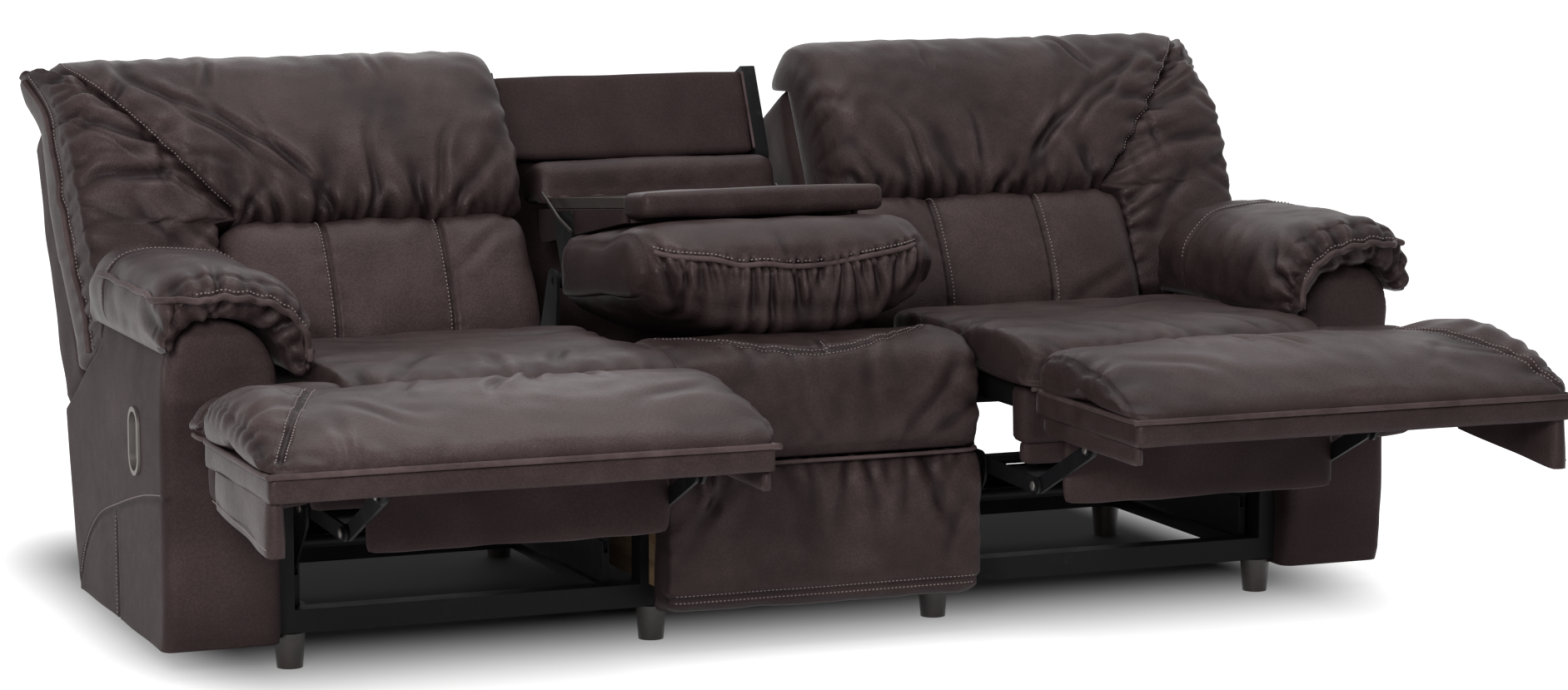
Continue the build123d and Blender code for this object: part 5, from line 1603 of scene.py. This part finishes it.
def spring_tree(material):
    """Geometry nodes: rows of sinuous springs between two rails, along Y."""
    tree, inlet, outlet = new_tree("SinuousSprings", (
        ("Length", 0.49), ("Swing", 0.024), ("Turns", 11.0), ("Wire", 0.0017)))
    line = tree.nodes.new("GeometryNodeCurvePrimitiveLine")
    resample = new_node(tree, "GeometryNodeResampleCurve", Count=200)
    link(tree, line, "Curve", resample, "Curve")
    end = tree.nodes.new("ShaderNodeCombineXYZ")
    link(tree, inlet, "Length", end, "Y")
    link(tree, end, "Vector", line, "End")
    share = tree.nodes.new("GeometryNodeSplineParameter").outputs["Factor"]
    turn = math_node(tree, "MULTIPLY", math_node(tree, "MULTIPLY", share, inlet.outputs["Turns"]), 2 * math.pi)
    swing = math_node(tree, "MULTIPLY", math_node(tree, "SINE", turn), inlet.outputs["Swing"])
    offset = tree.nodes.new("ShaderNodeCombineXYZ")
    tree.links.new(swing, offset.inputs["X"])
    move = tree.nodes.new("GeometryNodeSetPosition")
    link(tree, resample, "Curve", move, "Geometry")
    link(tree, offset, "Vector", move, "Offset")
    circle = new_node(tree, "GeometryNodeCurvePrimitiveCircle", Resolution=6)
    link(tree, inlet, "Wire", circle, "Radius")
    wire = tree.nodes.new("GeometryNodeCurveToMesh")
    link(tree, move, "Geometry", wire, "Curve")
    link(tree, circle, "Curve", wire, "Profile Curve")
    place = tree.nodes.new("GeometryNodeInstanceOnPoints")
    link(tree, inlet, "Geometry", place, "Points")
    link(tree, wire, "Mesh", place, "Instance")
    finish_tree(tree, place.outputs["Instances"], outlet, material)
    return tree


def finish_tree(tree, geometry, outlet, material):
    """Every tree ends the same way: real geometry with its own material."""
    realize = tree.nodes.new("GeometryNodeRealizeInstances")
    paint = new_node(tree, "GeometryNodeSetMaterial", Material=material)
    tree.links.new(geometry, realize.inputs["Geometry"])
    link(tree, realize, "Geometry", paint, "Geometry")
    link(tree, paint, "Geometry", outlet, "Geometry")


def stitch_tree(material):
    """Geometry nodes: thread stitches laid end to end along sewn lines."""
    tree, inlet, outlet = new_tree("ThreadStitches", (("Pitch", 0.0075), ("Thread", 0.0009), ("Stitch Share", 0.7)))
    curve = tree.nodes.new("GeometryNodeMeshToCurve")
    link(tree, inlet, "Geometry", curve, "Mesh")
    resample = tree.nodes.new("GeometryNodeResampleCurve")
    resample.mode = "LENGTH"
    link(tree, curve, "Curve", resample, "Curve")
    link(tree, inlet, "Pitch", resample, "Length")
    tangent = tree.nodes.new("GeometryNodeInputTangent")
    align = tree.nodes.new("FunctionNodeAlignEulerToVector")
    align.axis = "X"
    link(tree, tangent, "Tangent", align, "Vector")
    bead = new_node(tree, "GeometryNodeMeshIcoSphere", Radius=1.0, Subdivisions=1)
    smooth = tree.nodes.new("GeometryNodeSetShadeSmooth")
    link(tree, bead, "Mesh", smooth, "Geometry")
    size = tree.nodes.new("ShaderNodeCombineXYZ")
    length = math_node(tree, "MULTIPLY", inlet.outputs["Pitch"], inlet.outputs["Stitch Share"])
    half = math_node(tree, "MULTIPLY", length, 0.5)
    tree.links.new(half, size.inputs["X"])
    link(tree, inlet, "Thread", size, "Y")
    link(tree, inlet, "Thread", size, "Z")
    place = tree.nodes.new("GeometryNodeInstanceOnPoints")
    link(tree, resample, "Curve", place, "Points")
    link(tree, smooth, "Geometry", place, "Instance")
    link(tree, align, "Rotation", place, "Rotation")
    link(tree, size, "Vector", place, "Scale")
    finish_tree(tree, place.outputs["Instances"], outlet, material)
    return tree


def rivet_tree(material):
    """Geometry nodes: domed rivet heads that face outwards from their mechanism plates."""
    tree, inlet, outlet = new_tree("RivetHeads", (("Radius", 0.0095), ("Height", 0.0035)))
    dome = new_node(tree, "GeometryNodeMeshUVSphere", Segments=16, Rings=8, Radius=1.0)
    smooth = tree.nodes.new("GeometryNodeSetShadeSmooth")
    link(tree, dome, "Mesh", smooth, "Geometry")
    size = tree.nodes.new("ShaderNodeCombineXYZ")
    link(tree, inlet, "Height", size, "X")
    link(tree, inlet, "Radius", size, "Y")
    link(tree, inlet, "Radius", size, "Z")
    place = tree.nodes.new("GeometryNodeInstanceOnPoints")
    link(tree, inlet, "Geometry", place, "Points")
    link(tree, smooth, "Geometry", place, "Instance")
    link(tree, size, "Vector", place, "Scale")
    finish_tree(tree, place.outputs["Instances"], outlet, material)
    return tree


def grown(name, source, tree, values):
    """Plain mesh made by a node tree from a source mesh."""
    carrier = linked(name, source)
    modifier = carrier.modifiers.new("pattern", "NODES")
    modifier.node_group = tree
    for item in tree.interface.items_tree:
        if item.in_out == "INPUT" and item.name in values:
            modifier[item.identifier] = values[item.name]
    result = evaluated(carrier)
    bpy.data.objects.remove(carrier)
    return result


def point_mesh(name, points, edges=()):
    """Mesh of bare points and edges that a node tree grows on."""
    data = bpy.data.meshes.new(name)
    data.from_pydata(np.asarray(points, float).tolist(), list(edges), [])
    data.update()
    return data


class SOFA_OT_mechanism(bpy.types.Operator):
    """Finishes of the steel, timber and plastic parts, with rivets and seat springs"""
    bl_idname = "sofa.mechanism"
    bl_label = "Mechanism"

    def execute(self, context):
        for key, names in NODE_FINISHES.items():
            for name in names:
                self.paint(name, key)
        for key, names in SIDED_FINISHES.items():
            for word, _ in SIDES:
                for name in names:
                    self.paint(f"{word}_{name}", key)
        self.springs()
        self.rivets()
        return {"FINISHED"}

    def paint(self, name, key):
        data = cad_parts[name].data
        data.materials.clear()
        data.materials.append(MATERIALS[key])

    def springs(self):
        """Five seat springs under each seat pad."""
        tree = spring_tree(MATERIALS["wire"])
        for word, side in SIDES:
            xs = np.linspace(0.43, 0.806, 5)
            source = point_mesh("spring_ends", [(side * x, -0.600 + SHIFT, 0.4275) for x in xs])
            data = grown("springs", source, tree, {"Length": 0.500})
            add_object(f"{word}_seat_springs", data, MATERIALS["wire"], f"{word}_seat")

    def rivets(self):
        """Rivet heads over the pivots, on both plates of each mechanism."""
        tree = rivet_tree(MATERIALS["metal_trim"])
        inner, outer = MECH_FACES
        for word, side in SIDES:
            for body, spots, inset in ((f"{word}_rear_link", (SEAT_PIVOT,), -0.0052),
                                       (f"{word}_back", (BACK_PIVOT,), -0.0052),
                                       (f"{word}_front_link", (ELBOW, FOOT_PIVOT), 0.0024)):
                points = [(side * x, y, z) for y, z in spots for x in (inner + inset, outer - inset)]
                data = grown("rivets", point_mesh("rivet_spots", points), tree, {"Radius": 0.0085})
                add_object(f"{body}_rivets", data, MATERIALS["metal_trim"], body)


class SOFA_OT_sewing(bpy.types.Operator):
    """Thread stitches along every sewn line, and the piped welts"""
    bl_idname = "sofa.sewing"
    bl_label = "Stitching and welts"

    def execute(self, context):
        settings = context.scene.sofa_settings
        tree = stitch_tree(MATERIALS["thread"])
        for body, lines in STITCHES.items():
            points, edges = [], []
            for line in lines:
                first = len(points)
                points.extend(line.tolist())
                edges += [(k, k + 1) for k in range(first, len(points) - 1)]
            source = point_mesh("sewn_lines", points, edges)
            data = grown("stitches", source, tree, {"Pitch": settings.stitch_pitch, "Thread": settings.thread_radius})
            add_object(f"{body}_stitches", data, MATERIALS["thread"], body)
        for body, cords in WELTS.items():
            parts = [cord_mesh(points, radius) for points, radius in cords]
            add_object(f"{body}_welts", join_meshes("welts", parts), MATERIALS["welt"], body)
        return {"FINISHED"}


# ---------------------------------------------------------------- stage

CAMERA_AZIMUTH = math.radians(-21.917)
CAMERA_ELEVATION = math.radians(7.679)
CAMERA_PLACE = (-2.788, -7.016, 1.5005)
CAMERA_LENS = 98.82
CAMERA_SENSOR = 36
# Each lamp's name, place, aim, size and share of the key lamp's power.
LAMPS = (
    ("overhead", (0.0, 0.1, 3.6), (0, 0.1, 0.3), 2.6, 1.0),
    ("front", (-2.9, -4.6, 2.3), (0, 0, 0.4), 1.3, 3.15),
    ("rear", (0.8, 4.2, 2.6), (0, 0.3, 0.6), 2.4, 0.30),
)
FLOOR_HALF, FLOOR_ROWS = 30, 24
# The floor's painted shadow under the base, a soft dark patch in its colour and its glow: its centre, half size and
# rate of fading, by axis.
SHADE_CENTRE, SHADE_HALF, SHADE_FADE = (0.0, 0.480, 0.0), (0.95, 0.360, 0.0), (2.2, 1.0, 0.0)


class SOFA_OT_stage(bpy.types.Operator):
    """White floor, soft lamps and the camera at the photograph's angle"""
    bl_idname = "sofa.stage"
    bl_label = "Stage"

    def execute(self, context):
        settings = context.scene.sofa_settings
        self.floor(settings)
        self.world(settings)
        for name, place, aim, size, share in LAMPS:
            self.lamp(name, place, aim, size, settings.key_power * share)
        self.camera(context)
        context.scene.view_settings.view_transform = "Standard"
        return {"FINISHED"}

    def floor(self, settings):
        n = FLOOR_ROWS
        xs = np.linspace(-FLOOR_HALF, FLOOR_HALF, n)
        verts = [(x, y, 0.0) for y in xs for x in xs]
        faces = [(r * n + c, r * n + c + 1, (r + 1) * n + c + 1, (r + 1) * n + c)
                 for r in range(n - 1) for c in range(n - 1)]
        data = bpy.data.meshes.new("floor")
        data.from_pydata(verts, [], faces)
        data.update()
        floor = linked("studio_floor", data)
        material = bpy.data.materials.new("White studio floor")
        material.use_nodes = True
        tree = material.node_tree
        shader = tree.nodes["Principled BSDF"]
        for label, value in (("Roughness", 0.9), ("Specular IOR Level", 0.1), ("Emission Color", (1, 1, 1, 1))):
            shader.inputs[label].default_value = value
        coords = tree.nodes.new("ShaderNodeTexCoord").outputs["Object"]
        centred = self.vector(tree, "SUBTRACT", coords, SHADE_CENTRE)
        beyond = self.vector(tree, "SUBTRACT", self.vector(tree, "ABSOLUTE", centred), SHADE_HALF)
        beyond = self.vector(tree, "MULTIPLY", self.vector(tree, "MAXIMUM", beyond, (0.0, 0.0, 0.0)), SHADE_FADE)
        away = self.vector(tree, "LENGTH", beyond)
        # Painted shadow: the floor's colour goes near black in a soft patch under the sofa.
        tree.links.new(spread(tree, away, 0.05, 0.75, 0.012, 0.80), shader.inputs["Base Color"])
        seen = self.seen(tree)
        # The glow in the picture fades out over the same patch, which is painted shadow too.
        glow = math_node(tree, "MULTIPLY", seen, spread(tree, away, 0.0, 0.74, settings.floor_lift, 1.0))
        tree.links.new(glow, shader.inputs["Emission Strength"])
        data.materials.append(material)

    def vector(self, tree, operation, a, b=None):
        node = tree.nodes.new("ShaderNodeVectorMath")
        node.operation = operation
        tree.links.new(a, node.inputs[0])
        if b is not None:
            node.inputs[1].default_value = b
        return node.outputs["Value" if operation == "LENGTH" else "Vector"]

    def seen(self, tree):
        """One for rays of the picture itself, its reflections and what passes through; zero for light."""
        path = tree.nodes.new("ShaderNodeLightPath")
        seen = math_node(tree, "MAXIMUM", path.outputs["Is Camera Ray"], path.outputs["Is Transmission Ray"])
        return math_node(tree, "MAXIMUM", seen, path.outputs["Is Glossy Ray"])

    def world(self, settings):
        """White surroundings that the picture sees brighter than the object does."""
        world = bpy.data.worlds.new("studio")
        bpy.context.scene.world = world
        world.use_nodes = True
        tree = world.node_tree
        back = tree.nodes["Background"]
        back.inputs["Color"].default_value = (1, 1, 1, 1)
        seen = self.seen(tree)
        lift = math_node(tree, "MULTIPLY", seen, 1 - settings.sky_level)
        tree.links.new(math_node(tree, "ADD", lift, settings.sky_level), back.inputs["Strength"])

    def lamp(self, name, place, aim, size, power):
        light = bpy.data.lights.new(name, "AREA")
        light.shape = "DISK"
        light.size = size
        light.energy = power
        lamp = linked(name, light)
        lamp.location = place
        lamp.rotation_euler = (Vector(aim) - Vector(place)).to_track_quat("-Z", "Y").to_euler()

    def camera(self, context):
        a, e = CAMERA_AZIMUTH, CAMERA_ELEVATION
        back = Vector((math.sin(a) * math.cos(e), -math.cos(a) * math.cos(e), math.sin(e)))
        right = Vector((math.cos(a), math.sin(a), 0))
        up = back.cross(right)
        lens = bpy.data.cameras.new("photo_view")
        lens.lens = CAMERA_LENS
        lens.sensor_width = CAMERA_SENSOR
        lens.sensor_fit = "HORIZONTAL"
        lens.clip_end = 200
        camera = linked("photo_view", lens)
        turn = Matrix((right, up, back)).transposed().to_4x4()
        camera.matrix_world = Matrix.Translation(CAMERA_PLACE) @ turn
        context.scene.camera = camera


class SOFA_OT_materials(bpy.types.Operator):
    """Cover, lining, thread, steel, timber and plastic finishes"""
    bl_idname = "sofa.materials"
    bl_label = "Materials"

    def execute(self, context):
        make_materials(context.scene.sofa_settings)
        return {"FINISHED"}


# ---------------------------------------------------------------- add-on

class SofaSettings(bpy.types.PropertyGroup):
    """Sizes and colours that a user would change."""
    cover_colour: bpy.props.FloatVectorProperty(
        name="Cover colour", description="Colour of the cover in its valleys and flat parts", subtype="COLOR",
        default=(0.0350, 0.0214, 0.0218), min=0, max=1)
    # The rubbed colour is also what ridges and welts lighten towards: partly rubbed wear, partly painted highlight.
    rubbed_colour: bpy.props.FloatVectorProperty(
        name="Rubbed colour", description="Lighter colour where the nap is rubbed", subtype="COLOR",
        default=(0.088, 0.0600, 0.0605), min=0, max=1)
    grain_scale: bpy.props.FloatProperty(
        name="Grain scale", description="Pebbles of the cover's grain per metre", default=270.0, min=50, max=3000)
    stitch_pitch: bpy.props.FloatProperty(
        name="Stitch pitch", description="Distance from one stitch to the next", default=0.0072, unit="LENGTH")
    thread_radius: bpy.props.FloatProperty(
        name="Thread radius", description="Half the thickness of the sewing thread", default=0.0014, unit="LENGTH")
    key_power: bpy.props.FloatProperty(
        name="Key lamp", description="Power of the main lamp", default=47.0, unit="POWER")
    sky_level: bpy.props.FloatProperty(
        name="Surrounding light", description="Strength of the white surroundings on the object", default=0.22)
    floor_lift: bpy.props.FloatProperty(
        name="Floor lift", description="Glow of the floor under the sofa, in the picture only", default=0.0)


STEPS = (
    ("sofa.materials", SOFA_OT_materials), ("sofa.backs", SOFA_OT_backs), ("sofa.seats", SOFA_OT_seats),
    ("sofa.footrests", SOFA_OT_footrests), ("sofa.arms", SOFA_OT_arms), ("sofa.centre", SOFA_OT_centre),
    ("sofa.console", SOFA_OT_console), ("sofa.mechanism", SOFA_OT_mechanism), ("sofa.sewing", SOFA_OT_sewing),
    ("sofa.stage", SOFA_OT_stage),
)


class SOFA_PT_panel(bpy.types.Panel):
    """Sidebar panel with the steps and settings of the sofa"""
    bl_idname = "SOFA_PT_panel"
    bl_label = "Reclining sofa"
    bl_space_type = "VIEW_3D"
    bl_region_type = "UI"
    bl_category = "Sofa"

    def draw(self, context):
        settings = context.scene.sofa_settings
        for name in SofaSettings.__annotations__:
            self.layout.prop(settings, name)
        for name, _ in STEPS:
            self.layout.operator(name)


CLASSES = (SofaSettings, *(step for _, step in STEPS), SOFA_PT_panel)


def register():
    for item in CLASSES:
        bpy.utils.register_class(item)
    bpy.types.Scene.sofa_settings = bpy.props.PointerProperty(type=SofaSettings)


def unregister():
    del bpy.types.Scene.sofa_settings
    for item in reversed(CLASSES):
        bpy.utils.unregister_class(item)


def main():
    register()
    for name, _ in STEPS:
        group, action = name.split(".")
        getattr(getattr(bpy.ops, group), action)()


if __name__ == "__main__":
    main()
